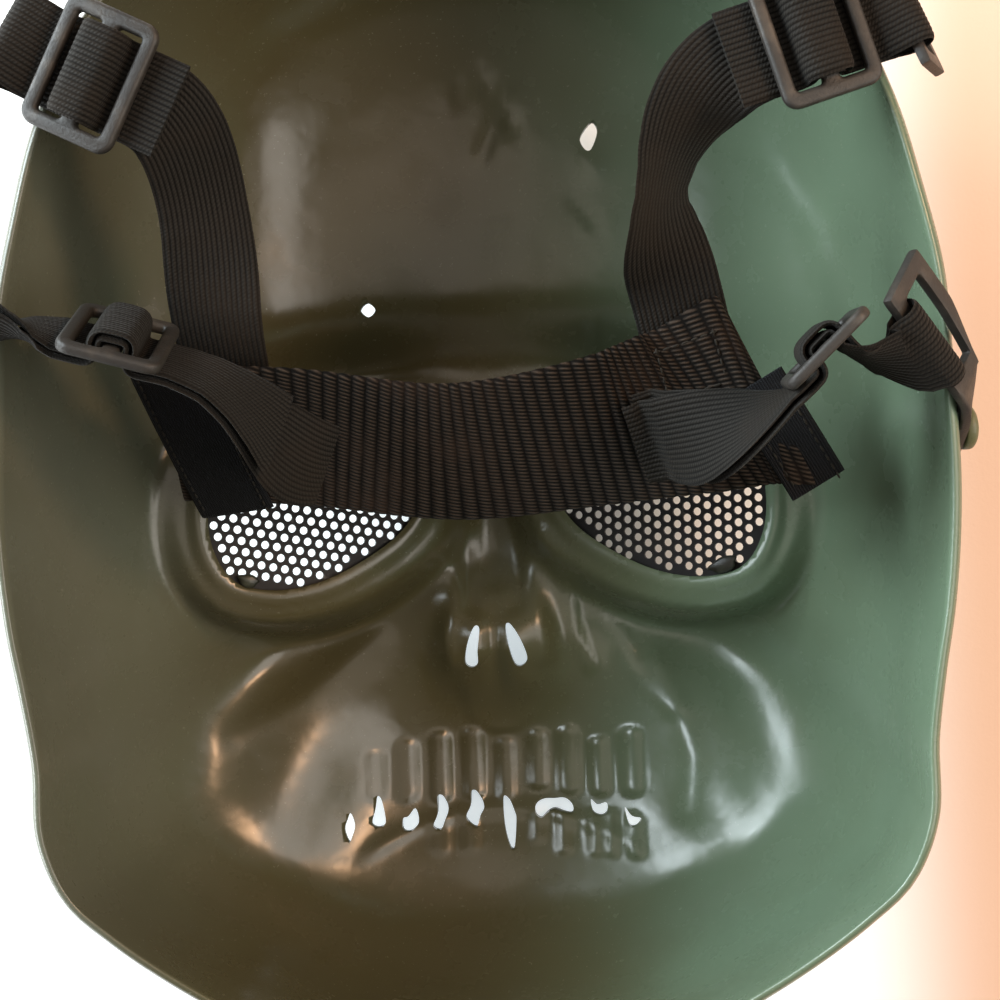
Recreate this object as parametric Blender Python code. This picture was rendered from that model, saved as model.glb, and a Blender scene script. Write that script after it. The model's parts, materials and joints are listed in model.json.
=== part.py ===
"""Skull mask with a webbing harness, lying face down with its hollow open upwards.

Frame: metres, +Z up out of the hollow, +Y towards the forehead, +X to the wearer's right.
The mask is drawn about the middle of its shell and moved at the end, so that the middle of
the bottom of its bounding box is the origin.
"""
import math

import bmesh
import bpy
import numpy as np
from mathutils import Matrix, Vector

MM = 0.001

# Shell
SHELL_HALF_WIDTH = 0.097
SHELL_HALF_LENGTH = 0.130
RIM_HEIGHT = 0.097
BOWL_FLOOR = 0.013
WALL = 0.0022

# Eyes
EYE_CENTRE_X = 0.0415
EYE_CENTRE_Y = -0.0105
EYE_WIDTH = 0.050
EYE_HEIGHT = 0.037
EYE_PLANE_HEIGHT = 0.032
EYE_PLANE_SLOPE = 0.36
EYE_LIP_HEIGHT = 0.0012
EYE_SEAT = 0.0060
EYE_FADE = 0.0085
MESH_PLAY = 0.0006
MESH_MARGIN = 0.0004
MESH_THICKNESS = 0.001
MESH_HOLE = 0.0044
MESH_PITCH = 0.0066

# Webbing and its fittings
STRAP_WIDTH = 0.020
STRAP_THICKNESS = 0.0014
BAND_WIDTH = 0.040
BAND_THICKNESS = 0.0018
SLIDER_LENGTH = 0.021
SLIDER_BREADTH = 0.028
SLIDER_THICKNESS = 0.0024
SLIDER_BAR = 0.0036
SLIDER_FRAME = 0.0030
SLIDER_CLEAR = 0.0012
BUCKLE_LENGTH = 0.028
BUCKLE_BREADTH = 0.0145
BUCKLE_THICKNESS = 0.0022
BUCKLE_FRAME = 0.0035
TONGUE_WIDTH = 0.009
TONGUE_END = 0.005
RIVET_HEAD_RADIUS = 0.0047
RIVET_HEAD_THICKNESS = 0.0033
RIVET_SHANK_RADIUS = 0.0020
RIVET_DEPTH = 0.009

# Clearances
GAP = 0.0003
RIVET_PLAY = 0.0003
SLOT_PLAY = 0.0008
SEAM = 0.0016
UPPER_SEAM = 0.0020

# Rim outline, right half, from the chin round to the forehead. The shares are of the shell's
# half width and half length; fullness is the exponent of the wall's profile, and drop is the
# share of the rim's height by which the rim lies lower there.
OUTLINE = (
    # angle, x share, y share, fullness, drop
    (-90.0, 0.000, -1.000, 4.6, 0.085),
    (-76.6, 0.309, -0.969, 4.6, 0.070),
    (-63.8, 0.570, -0.864, 4.4, 0.040),
    (-58.5, 0.670, -0.815, 4.2, 0.028),
    (-51.3, 0.796, -0.742, 4.0, 0.012),
    (-46.0, 0.880, -0.681, 3.8, 0.005),
    (-40.0, 0.933, -0.585, 3.5, 0.000),
    (-33.8, 0.940, -0.469, 3.1, 0.000),
    (-26.9, 0.957, -0.362, 2.8, 0.000),
    (-19.1, 0.981, -0.254, 2.5, 0.000),
    (-7.0, 1.000, -0.092, 2.3, 0.000),
    (7.0, 0.995, 0.092, 2.2, 0.000),
    (21.6, 0.976, 0.288, 2.3, 0.000),
    (28.5, 0.948, 0.385, 2.4, 0.005),
    (39.7, 0.889, 0.550, 2.6, 0.018),
    (50.0, 0.794, 0.708, 2.8, 0.038),
    (60.4, 0.639, 0.838, 3.0, 0.065),
    (74.7, 0.351, 0.954, 3.1, 0.110),
    (90.0, 0.000, 1.000, 3.1, 0.130),
)

# Eye opening, round its centre, as shares of the eye's half width and half height, starting at
# the nose and going round by the brow.
EYE_OUTLINE = (
    # x share, y share
    (-1.00, 0.20),
    (-0.90, 0.62),
    (-0.55, 0.95),
    (0.00, 1.00),
    (0.55, 0.95),
    (0.90, 0.66),
    (1.00, 0.15),
    (0.97, -0.42),
    (0.78, -0.86),
    (0.42, -1.00),
    (0.00, -0.92),
    (-0.42, -0.66),
    (-0.80, -0.28),
)

# Broad relief of the skull: outward swell in millimetres, then centre and spreads as shares of
# the shell's half width and half length, and the turn of the long axis. Every row but those on
# the centre line is mirrored.
RELIEF = (
    # name, swell, x, y, spread x, spread y, turn in degrees
    ("brow", 14.0, 0.392, 0.177, 0.227, 0.0615, -8.0),
    ("glabella", 5.0, 0.0, 0.131, 0.103, 0.069, 0.0),
    ("nose_bone", 6.0, 0.0, -0.162, 0.046, 0.100, 0.0),
    ("aperture", -9.0, 0.062, -0.346, 0.067, 0.065, 8.0),
    ("nose_spine", 4.0, 0.0, -0.354, 0.023, 0.046, 0.0),
    ("muzzle", 11.7, 0.0, -0.600, 0.371, 0.169, 0.0),
    ("cheek_bone", 8.0, 0.557, -0.346, 0.206, 0.062, -28.0),
    ("cheek_hollow", -5.0, 0.536, -0.600, 0.113, 0.115, 20.0),
    ("jaw_line", 3.0, 0.515, -0.792, 0.186, 0.054, 22.0),
    ("chin", 5.0, 0.0, -0.862, 0.175, 0.054, 0.0),
    ("temple", -4.0, 0.742, 0.346, 0.072, 0.215, 8.0),
)

# Teeth: one pitch for both rows. Lengths in metres.
TOOTH_PITCH = 0.00835
TOOTH_OFFSET = 0.0042
TEETH_HALF_WIDTH = 0.040
ROOT_TOP = -0.069
BITE_LINE = -0.0905
LOWER_TEETH_BOTTOM = -0.105
TOOTH_RELIEF = 0.0013
BITE_DEPTH = 0.0016

# Holes in the shell: centre as shares of the shell's half width and half length, half width and
# half height in millimetres, lean, and how pointed the outline is (1 is a diamond, 2 an ellipse).
HOLES = (
    # name, x, y, half width, half height, lean in degrees, exponent
    ("nostril_right", 0.064, -0.354, 2.0, 6.0, 12.0, 1.7),
    ("nostril_left", -0.064, -0.354, 1.8, 5.8, -12.0, 1.7),
    ("tooth_gap_1", -0.397, -0.700, 1.3, 3.7, 0.0, 1.0),
    ("tooth_gap_2", -0.325, -0.677, 1.6, 3.9, 8.0, 1.3),
    ("tooth_gap_3", -0.242, -0.696, 2.0, 2.8, -30.0, 1.2),
    ("tooth_gap_4", -0.163, -0.685, 1.8, 4.3, 14.0, 1.3),
    ("tooth_gap_5", -0.072, -0.681, 2.0, 4.7, 12.0, 1.3),
    ("tooth_gap_6", 0.021, -0.708, 1.8, 6.3, 2.0, 1.3),
    ("tooth_gap_7", 0.139, -0.681, 4.6, 2.0, -3.0, 2.0),
    ("tooth_gap_8", 0.258, -0.681, 2.0, 1.8, 0.0, 1.6),
    ("tooth_gap_9", 0.345, -0.696, 2.1, 3.0, 10.0, 1.4),
    ("forehead_left", -0.304, 0.312, 2.0, 1.8, 0.0, 2.0),
    ("forehead_right", 0.289, 0.623, 2.1, 3.3, -14.0, 2.0),
)

# Flats that the mask lies on, where the brows and the upper jaw meet the table: places as shares
# of the shell's half width and half length.
SEAT_RADIUS = 0.008
SEAT_FADE = 0.017
SEATS = (
    # x share, y share
    (0.371, 0.185),
    (-0.371, 0.185),
    (0.130, -0.580),
    (-0.130, -0.580),
)

# Centre line of the wide band, left to right, as shares of the shell's half width, half length
# and rim height, and how far its upper edge is tilted up.
BAND = (
    # x share, y share, z share, tilt in degrees
    (-0.711, 0.0615, 0.680, 42.0),
    (-0.443, 0.0500, 0.691, 41.0),
    (-0.026, 0.0123, 0.691, 41.0),
    (0.273, 0.0370, 0.722, 36.0),
    (0.505, 0.0690, 0.753, 22.0),
    (0.680, 0.0920, 0.773, 5.0),
    (0.763, 0.0885, 0.753, -6.0),
)


def place(x, y, z):
    """Point from shares of the shell's half width, half length and rim height."""
    return Vector((x * SHELL_HALF_WIDTH, y * SHELL_HALF_LENGTH, z * RIM_HEIGHT))


def smooth_step(value):
    value = np.clip(value, 0.0, 1.0)
    return value * value * (3.0 - 2.0 * value)


def cubic_table(x, knots, values):
    """Smooth curve through a table with uneven knots."""
    slopes = np.gradient(values, knots)
    cell = np.clip(np.searchsorted(knots, x) - 1, 0, len(knots) - 2)
    span = knots[cell + 1] - knots[cell]
    t = (x - knots[cell]) / span
    return ((2 * t ** 3 - 3 * t ** 2 + 1) * values[cell]
            + (t ** 3 - 2 * t ** 2 + t) * span * slopes[cell]
            + (3 * t ** 2 - 2 * t ** 3) * values[cell + 1]
            + (t ** 3 - t ** 2) * span * slopes[cell + 1])


def rim_section(angle):
    """Rim point, wall fullness and rim height for disc angles in radians."""
    rows = np.array(OUTLINE)
    mirrored_start = rows[2:0:-1].copy()
    mirrored_start[:, 0] = -180.0 - mirrored_start[:, 0]
    mirrored_start[:, 1] *= -1.0
    mirrored_end = rows[-2:-4:-1].copy()
    mirrored_end[:, 0] = 180.0 - mirrored_end[:, 0]
    mirrored_end[:, 1] *= -1.0
    rows = np.vstack((mirrored_start, rows, mirrored_end))
    side = np.where(np.cos(angle) < 0.0, -1.0, 1.0)
    folded = np.degrees(np.arctan2(np.sin(angle), np.abs(np.cos(angle))))
    x_share, y_share, fullness, drop = (
        cubic_table(folded, rows[:, 0], rows[:, column]) for column in (1, 2, 3, 4))
    return (side * x_share * SHELL_HALF_WIDTH, y_share * SHELL_HALF_LENGTH,
            fullness, RIM_HEIGHT * (1.0 - drop))


def bowl(radius, angle):
    """Plain bowl under the relief. Radius 0 to 1 runs evenly along the wall to the rim."""
    rim_x, rim_y, fullness, rim_z = rim_section(angle)
    reach = np.hypot(rim_x, rim_y)
    fall = rim_z - BOWL_FLOOR
    turn = np.linspace(0.0, math.pi / 2, 41)[:, None]
    out = np.sin(turn) ** (2.0 / fullness)
    up = 1.0 - np.cos(turn) ** (2.0 / fullness)
    steps = np.hypot(np.diff(out * reach, axis=0), np.diff(up * fall, axis=0))
    run = np.vstack((np.zeros((1, reach.size)), np.cumsum(steps, axis=0)))
    run /= run[-1]
    out_here = np.array([np.interp(r, run[:, i], out[:, i]) for i, r in enumerate(radius)])
    up_here = np.array([np.interp(r, run[:, i], up[:, i]) for i, r in enumerate(radius)])
    return np.column_stack((out_here * rim_x, out_here * rim_y, BOWL_FLOOR + up_here * fall))


def wall_normal(radius, angle, surface, step):
    """Outward normal of a surface of the wall, found from points close by."""
    shrink = 1.0 - 2.0 * step
    u = radius * np.cos(angle) * shrink
    v = radius * np.sin(angle) * shrink

    def point(du, dv):
        return surface(bowl(np.hypot(u + du, v + dv), np.arctan2(v + dv, u + du)))

    normal = np.cross(point(step, 0) - point(-step, 0), point(0, step) - point(0, -step))
    return -normal / np.linalg.norm(normal, axis=1)[:, None]


def closed_curve(points, samples):
    """Closed smooth curve through a few points."""
    points = np.array(points)
    count = len(points)
    out = []
    for i in range(count):
        p0, p1, p2, p3 = (points[(i + k) % count] for k in (-1, 0, 1, 2))
        for t in np.arange(samples) / samples:
            out.append(0.5 * (2 * p1 + (p2 - p0) * t + (2 * p0 - 5 * p1 + 4 * p2 - p3) * t ** 2
                              + (3 * p1 - p0 - 3 * p2 + p3) * t ** 3))
    return np.array(out)


def eye_outline(samples=2):
    """Right eye opening in the shell's plan."""
    shares = closed_curve(EYE_OUTLINE, samples)
    return shares * (EYE_WIDTH / 2, EYE_HEIGHT / 2) + (EYE_CENTRE_X, EYE_CENTRE_Y)


def outline_distance(x, y, outline):
    """Distance to a closed outline in the plan, negative inside it."""
    start = outline
    end = np.roll(outline, -1, axis=0)
    best = np.full(x.shape, 1.0)
    inside = np.zeros(x.shape, dtype=bool)
    for (ax, ay), (bx, by) in zip(start, end):
        t = np.clip(((x - ax) * (bx - ax) + (y - ay) * (by - ay))
                    / ((bx - ax) ** 2 + (by - ay) ** 2), 0.0, 1.0)
        best = np.minimum(best, np.hypot(x - ax - t * (bx - ax), y - ay - t * (by - ay)))
        crosses = (ay > y) != (by > y)
        with np.errstate(divide="ignore", invalid="ignore"):
            inside ^= crosses & (x < (bx - ax) * (y - ay) / (by - ay) + ax)
    return np.where(inside, -best, best)


def broad_relief(x, y):
    """Outward swell of the skull's bones, in metres."""
    total = np.zeros(x.shape)
    for _, swell, cx, cy, sx, sy, turn in RELIEF:
        sides = (1.0,) if cx == 0.0 else (1.0, -1.0)
        c, s = math.cos(math.radians(turn)), math.sin(math.radians(turn))
        for side in sides:
            dx = side * x - cx * SHELL_HALF_WIDTH
            dy = y - cy * SHELL_HALF_LENGTH
            along = (c * dx + s * dy) / (sx * SHELL_HALF_WIDTH)
            across = (-s * dx + c * dy) / (sy * SHELL_HALF_LENGTH)
            total += swell * MM * np.exp(-0.5 * (along ** 2 + across ** 2))
    return total


def teeth_relief(x, y):
    """Roots and crowns as rounded ribs, with the bite line set back between them."""
    row = smooth_step((TEETH_HALF_WIDTH - np.abs(x)) / TOOTH_PITCH)
    rib = np.abs(np.cos(math.pi * (x - TOOTH_OFFSET) / TOOTH_PITCH)) ** 0.6 - 0.5
    tall = (smooth_step((ROOT_TOP - y) / 0.003)
            * smooth_step((y - LOWER_TEETH_BOTTOM) / 0.003))
    bite = np.exp(-0.5 * ((y - BITE_LINE) / 0.0016) ** 2)
    return row * (TOOTH_RELIEF * rib * tall - BITE_DEPTH * bite)


def relieved(points, teeth=True):
    """Skull surface from points of the plain bowl."""
    x, y, z = points.T.copy()
    z = z - broad_relief(x, y)
    if teeth:
        z = z - teeth_relief(x, y)
    distance = outline_distance(np.abs(x), y, eye_outline())
    plane = EYE_PLANE_HEIGHT + EYE_PLANE_SLOPE * (np.abs(x) - EYE_CENTRE_X)
    hold = 1.0 - smooth_step((distance - EYE_SEAT) / EYE_FADE)
    return np.column_stack((x, y, z + (plane - z) * hold))


def seated(points):
    """Flats on the outer face where the mask touches the table."""
    x, y, z = points.T.copy()
    for seat_x, seat_y in SEATS:
        away = np.hypot(x - seat_x * SHELL_HALF_WIDTH, y - seat_y * SHELL_HALF_LENGTH)
        hold = 1.0 - smooth_step((away - SEAT_RADIUS) / (SEAT_FADE - SEAT_RADIUS))
        z = z * (1.0 - hold)
    return np.column_stack((x, y, z))


def shell_surfaces(radius, angle):
    """Inner and outer face of the shell at the same places of the wall."""
    base = bowl(radius, angle)
    normal = wall_normal(radius, angle, lambda points: relieved(points, False), 0.02)
    inner = relieved(base)
    outer = seated(inner + normal * WALL)
    lift = outer[:, 2] + WALL * 0.85
    inner[:, 2] = np.maximum(inner[:, 2], np.minimum(lift, inner[:, 2] + WALL))
    return inner, outer


def grid_lines(stops):
    """Lines from (end, count) runs, starting at -1."""
    lines = [-1.0]
    for end, count in stops:
        lines += list(np.linspace(lines[-1], end, count + 1)[1:])
    return np.array(lines)


SHELL_COLUMNS = ((-0.34, 7), (0.34, 18), (1.0, 7))
SHELL_ROWS = ((-0.64, 4), (-0.44, 7), (-0.10, 5), (0.26, 10), (1.0, 6))


def material(name, colour, roughness, metallic=0.0):
    made = bpy.data.materials.new(name)
    made.use_nodes = True
    shader = made.node_tree.nodes["Principled BSDF"]
    shader.inputs["Base Color"].default_value = (*colour, 1.0)
    shader.inputs["Roughness"].default_value = roughness
    shader.inputs["Metallic"].default_value = metallic
    return made


def new_object(name, vertices, faces, look, smooth=True):
    mesh = bpy.data.meshes.new(name)
    mesh.from_pydata([tuple(v) for v in vertices], [], faces)
    mesh.validate()
    if smooth:
        mesh.shade_smooth()
        mesh.set_sharp_from_angle(angle=math.radians(40))
    made = bpy.data.objects.new(name, mesh)
    bpy.context.collection.objects.link(made)
    if look:
        made.data.materials.append(look)
    return made


def prism(outline, low, high):
    """Vertices and faces of an upright prism over a plan outline that turns left."""
    count = len(outline)
    vertices = [(x, y, low) for x, y in outline] + [(x, y, high) for x, y in outline]
    faces = [tuple(range(count - 1, -1, -1)), tuple(range(count, 2 * count))]
    faces += [(i, (i + 1) % count, count + (i + 1) % count, count + i) for i in range(count)]
    return vertices, faces


def cutter(name, parts):
    """One hidden cutter from several (vertices, faces) solids that don't touch."""
    vertices, faces = [], []
    for part_vertices, part_faces in parts:
        start = len(vertices)
        vertices += list(part_vertices)
        faces += [tuple(start + i for i in face) for face in part_faces]
    made = new_object(name, vertices, faces, None, smooth=False)
    made.hide_render = True
    made.display_type = "WIRE"
    return made


def cut(target, tool):
    change = target.modifiers.new("holes", "BOOLEAN")
    change.operation = "DIFFERENCE"
    change.solver = "EXACT"
    change.object = tool


def hole_outline(x, y, half_width, half_height, lean, exponent, sides=8):
    points = []
    c, s = math.cos(math.radians(lean)), math.sin(math.radians(lean))
    for i in range(sides):
        turn = 2 * math.pi * i / sides
        px = half_width * math.copysign(abs(math.cos(turn)) ** (2 / exponent), math.cos(turn))
        py = half_height * math.copysign(abs(math.sin(turn)) ** (2 / exponent), math.sin(turn))
        points.append((x + (c * px - s * py) * MM, y + (s * px + c * py) * MM))
    return points


def turned(profile, frame, sides=14):
    """Solid of revolution from (radius, height) pairs, bottom first, about the frame's Z."""
    vertices = []
    for radius, height in profile:
        for i in range(sides):
            turn = 2 * math.pi * i / sides
            local = Vector((radius * math.cos(turn), radius * math.sin(turn), height))
            vertices.append(frame @ local)
    faces = [tuple(range(sides - 1, -1, -1))]
    for ring in range(len(profile) - 1):
        low, high = ring * sides, (ring + 1) * sides
        for i in range(sides):
            j = (i + 1) % sides
            faces.append((low + i, low + j, high + j, high + i))
    last = (len(profile) - 1) * sides
    faces.append(tuple(range(last, last + sides)))
    return vertices, faces


def frame_from(origin, along, across):
    """Matrix with X along, Y across made square to it, and Z from both."""
    x = Vector(along).normalized()
    y = Vector(across)
    y = (y - x * y.dot(x)).normalized()
    z = x.cross(y)
    made = Matrix((x, y, z)).transposed().to_4x4()
    made.translation = Vector(origin)
    return made


def make_shell(look, rivet_frames):
    a_lines = grid_lines(SHELL_COLUMNS)
    b_lines = grid_lines(SHELL_ROWS)
    a, b = (g.ravel() for g in np.meshgrid(a_lines, b_lines))
    u = a * np.sqrt(1 - b * b / 2)
    v = b * np.sqrt(1 - a * a / 2)
    inner, outer = shell_surfaces(np.minimum(np.hypot(u, v), 1.0), np.arctan2(v, u))
    columns, rows = len(a_lines), len(b_lines)
    count = columns * rows
    vertices = np.vstack((inner, outer))
    faces = []
    for j in range(rows - 1):
        for i in range(columns - 1):
            k = j * columns + i
            faces.append((k, k + 1, k + 1 + columns, k + columns))
            faces.append((count + k, count + k + columns, count + k + 1 + columns,
                          count + k + 1))
    ring = ([i for i in range(columns)]
            + [j * columns + columns - 1 for j in range(1, rows)]
            + [(rows - 1) * columns + i for i in range(columns - 2, -1, -1)]
            + [j * columns for j in range(rows - 2, 0, -1)])
    for k, n in zip(ring, ring[1:] + ring[:1]):
        faces.append((k, count + k, count + n, n))
    shell = new_object("shell", vertices, faces, look)

    top = RIM_HEIGHT
    right_eye = [tuple(p) for p in eye_outline()][::-1]
    left_eye = [(-x, y) for x, y in right_eye][::-1]
    tools = [prism(right_eye, -top, top), prism(left_eye, -top, top)]
    for _, x, y, *rest in HOLES:
        centre = place(x, y, 0.0)
        tools.append(prism(hole_outline(centre.x, centre.y, *rest), -top, top))
    play = RIVET_SHANK_RADIUS + RIVET_PLAY
    tools += [turned(((play, -0.006), (play, 0.006)), frame, 10) for frame in rivet_frames]
    cut(shell, cutter("shell_cutters", tools))
    return shell


def plate_mesh(outline, windows, thickness, frame):
    """Flat plate with windows, filled as a curve and set in a frame."""
    curve = bpy.data.curves.new("plate", "CURVE")
    curve.dimensions = "2D"
    curve.fill_mode = "BOTH"
    curve.extrude = thickness / 2
    for loop in [outline] + list(windows):
        spline = curve.splines.new("POLY")
        spline.points.add(len(loop) - 1)
        for point, (x, y) in zip(spline.points, loop):
            point.co = (x, y, 0.0, 1.0)
        spline.use_cyclic_u = True
    holder = bpy.data.objects.new("plate", curve)
    bpy.context.collection.objects.link(holder)
    bpy.context.view_layer.update()
    mesh = bpy.data.meshes.new_from_object(holder)
    bpy.data.objects.remove(holder)
    bpy.data.curves.remove(curve)
    work = bmesh.new()
    work.from_mesh(mesh)
    bmesh.ops.remove_doubles(work, verts=work.verts, dist=0.00002)
    bmesh.ops.recalc_face_normals(work, faces=work.faces)
    work.to_mesh(mesh)
    work.free()
    mesh.transform(frame)
    return mesh


def rounded_rectangle(half_x, half_y, radius, steps=2, centre=(0.0, 0.0)):
    points = []
    for sx, sy, start in ((1, 1, 0), (-1, 1, 90), (-1, -1, 180), (1, -1, 270)):
        for k in range(steps + 1):
            turn = math.radians(start + 90 * k / steps)
            points.append((centre[0] + sx * (half_x - radius) + radius * math.cos(turn),
                           centre[1] + sy * (half_y - radius) + radius * math.sin(turn)))
    return points


def eye_frame(side):
    """Frame of the eye plane's outer side, with its origin under the eye's centre."""
    lean = math.atan(EYE_PLANE_SLOPE)
    depth = WALL * 0.6
    x_axis = Vector((math.cos(lean), 0.0, side * math.sin(lean)))
    height = EYE_PLANE_HEIGHT - depth / math.cos(lean)
    return frame_from((side * EYE_CENTRE_X, EYE_CENTRE_Y, height), x_axis, (0.0, 1.0, 0.0))


def make_eye_mesh(side, name, look):
    frame = eye_frame(side)
    lean = math.cos(math.atan(EYE_PLANE_SLOPE))
    shares = closed_curve(EYE_OUTLINE, 2)
    half = np.array(((EYE_WIDTH / 2 - MESH_PLAY) / lean, EYE_HEIGHT / 2 - MESH_PLAY))
    outline = shares * half * (side, 1.0)
    holes = []
    row_step = MESH_PITCH * math.sqrt(3) / 2
    reach = int(EYE_WIDTH / row_step)
    for row in range(-reach, reach + 1):
        for column in range(-reach, reach + 1):
            x = (column + 0.5 * (row % 2)) * MESH_PITCH
            y = row * row_step
            room = outline_distance(np.array([x]), np.array([y]), outline)[0]
            if room < -MESH_HOLE * 0.5 - MESH_MARGIN:
                holes.append([(x + MESH_HOLE / 2 * math.cos(math.radians(60 * k + 30)),
                               y + MESH_HOLE / 2 * math.sin(math.radians(60 * k + 30)))
                              for k in range(6)])
    mesh = plate_mesh([tuple(p) for p in outline], holes, MESH_THICKNESS, frame)
    made = bpy.data.objects.new(name, mesh)
    bpy.context.collection.objects.link(made)
    made.data.materials.append(look)
    return made


def band_curve():
    """Lengths along the band and its stations, in metres and degrees."""
    rows = np.array([(*place(x, y, z), tilt) for x, y, z, tilt in BAND])
    knots = np.concatenate(([0.0], np.cumsum(np.linalg.norm(np.diff(rows[:, :3], axis=0),
                                                            axis=1))))
    return knots, rows


def band_frame(share):
    """Frame of the band at a share of its length: X along, Y across and up, Z out of its face."""
    knots, rows = band_curve()
    here = share * knots[-1]
    places = np.array([here - 0.0004, here, here + 0.0004])
    x, y, z, tilt = (cubic_table(places, knots, rows[:, k]) for k in range(4))
    along = Vector((x[2] - x[0], y[2] - y[0], z[2] - z[0]))
    lean = math.radians(tilt[1])
    across = (0.0, math.cos(lean), math.sin(lean))
    return frame_from((x[1], y[1], z[1]), along, across)


def ribbon(name, frames, width, thickness, look):
    """Closed strip of webbing through frames: X along it, Y across it, Z through it."""
    vertices, faces = [], []
    for frame in frames:
        for y, z in ((-1, -1), (1, -1), (1, 1), (-1, 1)):
            vertices.append(frame @ Vector((0.0, y * width / 2, z * thickness / 2)))
    for ring in range(len(frames) - 1):
        low, high = 4 * ring, 4 * ring + 4
        # Twisted webbing is split on the higher diagonal on both of its faces and in every
        # layer, so that two faces that lie close together stay apart.
        rise = (vertices[low] + vertices[low + 3] + vertices[high + 1] + vertices[high + 2]
                - vertices[low + 1] - vertices[low + 2] - vertices[high] - vertices[high + 3]).z
        for i in range(4):
            j = (i + 1) % 4
            a, b, c, d = low + i, low + j, high + j, high + i
            if (rise > 0.0) == (i < 2):
                faces += [(a, b, c), (a, c, d)]
            else:
                faces += [(a, b, d), (b, c, d)]
    last = 4 * len(frames) - 4
    faces.append((3, 2, 1, 0))
    faces.append((last, last + 1, last + 2, last + 3))
    return new_object(name, vertices, faces, look)


# Where each slider lies, as shares of the shell's half width, half length and rim height, the
# way the strap runs through it, and the way its upper face looks.
SLIDER_SEATS = {
    # name: (centre, run, face)
    "upper_right": ((0.737, 0.629, 1.085), (0.95, 0.30, -0.10), (0.10, 0.0, 1.0)),
    "upper_left": ((-0.755, 0.611, 1.085), (-0.89, 0.46, -0.10), (-0.10, 0.0, 1.0)),
    "lower_right": ((0.736, 0.144, 1.075), (0.71, 0.68, 0.10), (-0.69, 0.72, 0.0)),
    "lower_left": ((-0.716, 0.203, 1.075), (-0.95, 0.27, 0.16), (0.27, 0.89, 0.37)),
}

# Rim buckles: middle of the bar that the strap goes round in the same shares, the way that bar
# runs to the tongue, the way across the plate, and the rim angle of the rivet.
BUCKLE_SEATS = {
    # name: (centre, run, across, rivet angle in degrees)
    "upper_right": ((0.918, 0.672, 1.044), (-0.36, 0.92, -0.12), (0.38, 0.10, -0.92), 58.5),
    "upper_left": ((-0.924, 0.680, 1.044), (0.48, 0.86, -0.12), (-0.38, 0.10, -0.92), 121.5),
    "lower_right": ((0.935, 0.142, 1.112), (0.58, -0.66, -0.48), (0.475, 0.75, -0.46), 1.5),
    "lower_left": ((-1.085, 0.215, 1.185), (0.08, -0.76, -0.65), (-0.65, 0.55, -0.45), 176.0),
}

# Ends of the straps on the band, along it as shares of its length and across it as shares of
# its width; face is 1 in front of the band and -1 behind it. The knot is a place on the way to
# the slider, with the way the webbing faces there.
BAND_SEATS = {
    # name: (start along, start across, exit along, exit across, face, knot, its face)
    "upper_right": (0.829, 0.05, 0.829, 0.60, -1, (0.428, 0.415, 0.918), (0.80, 0.05, 0.60)),
    "upper_left": (0.096, 0.05, 0.096, 0.60, -1, (-0.567, 0.423, 0.907), (0.45, 0.0, 0.89)),
    "lower_right": (0.735, -0.02, 0.765, -0.02, 1, None, None),
    "lower_left": (0.350, -0.02, 0.290, -0.02, 1, None, None),
}

# Straps that leave the slider's far slot straight down; the others leave under its far bar.
STRAIGHT_OUT = ("lower_right",)

STRAIGHT_LENGTH = 0.0035
SPAN_STEP = 0.0065
BAR_STEPS = 6
PEEL = math.radians(50)
TAIL_PAST_SLIDER = 0.006
TAIL_RISE = 0.0045
TAIL_OVER_BAND = {
    # name: end along the band as a share of its length
    "lower_right": 0.722,
}
TAIL_SHARE = 0.6


def span_frames(start, end):
    """Frames from one frame to another on a smooth curve, with the twist spread along it."""
    p0, p1 = start.translation, end.translation
    reach = (p1 - p0).length
    count = max(1, round(reach / SPAN_STEP))
    run0, run1 = start.col[0].xyz * reach, end.col[0].xyz * reach
    fine = 8
    steps = (count + 1) * fine
    stations = []
    across, old_run = start.col[1].xyz, start.col[0].xyz
    for k in range(steps + 1):
        t = k / steps
        point = (p0 * (2 * t ** 3 - 3 * t ** 2 + 1) + run0 * (t ** 3 - 2 * t ** 2 + t)
                 + p1 * (3 * t ** 2 - 2 * t ** 3) + run1 * (t ** 3 - t ** 2))
        run = (p0 * (6 * t ** 2 - 6 * t) + run0 * (3 * t ** 2 - 4 * t + 1)
               + p1 * (6 * t - 6 * t ** 2) + run1 * (3 * t ** 2 - 2 * t)).normalized()
        across = old_run.rotation_difference(run) @ across
        old_run = run
        if k % fine == 0:
            stations.append((t, point, run, across.copy()))
    side = across.cross(end.col[1].xyz).dot(old_run)
    twist = math.atan2(side, across.dot(end.col[1].xyz))
    frames = []
    for t, point, run, across in stations:
        turn = Matrix.Rotation(twist * float(smooth_step(t)), 3, run)
        frames.append(frame_from(point, run, turn @ across))
    return frames


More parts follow.
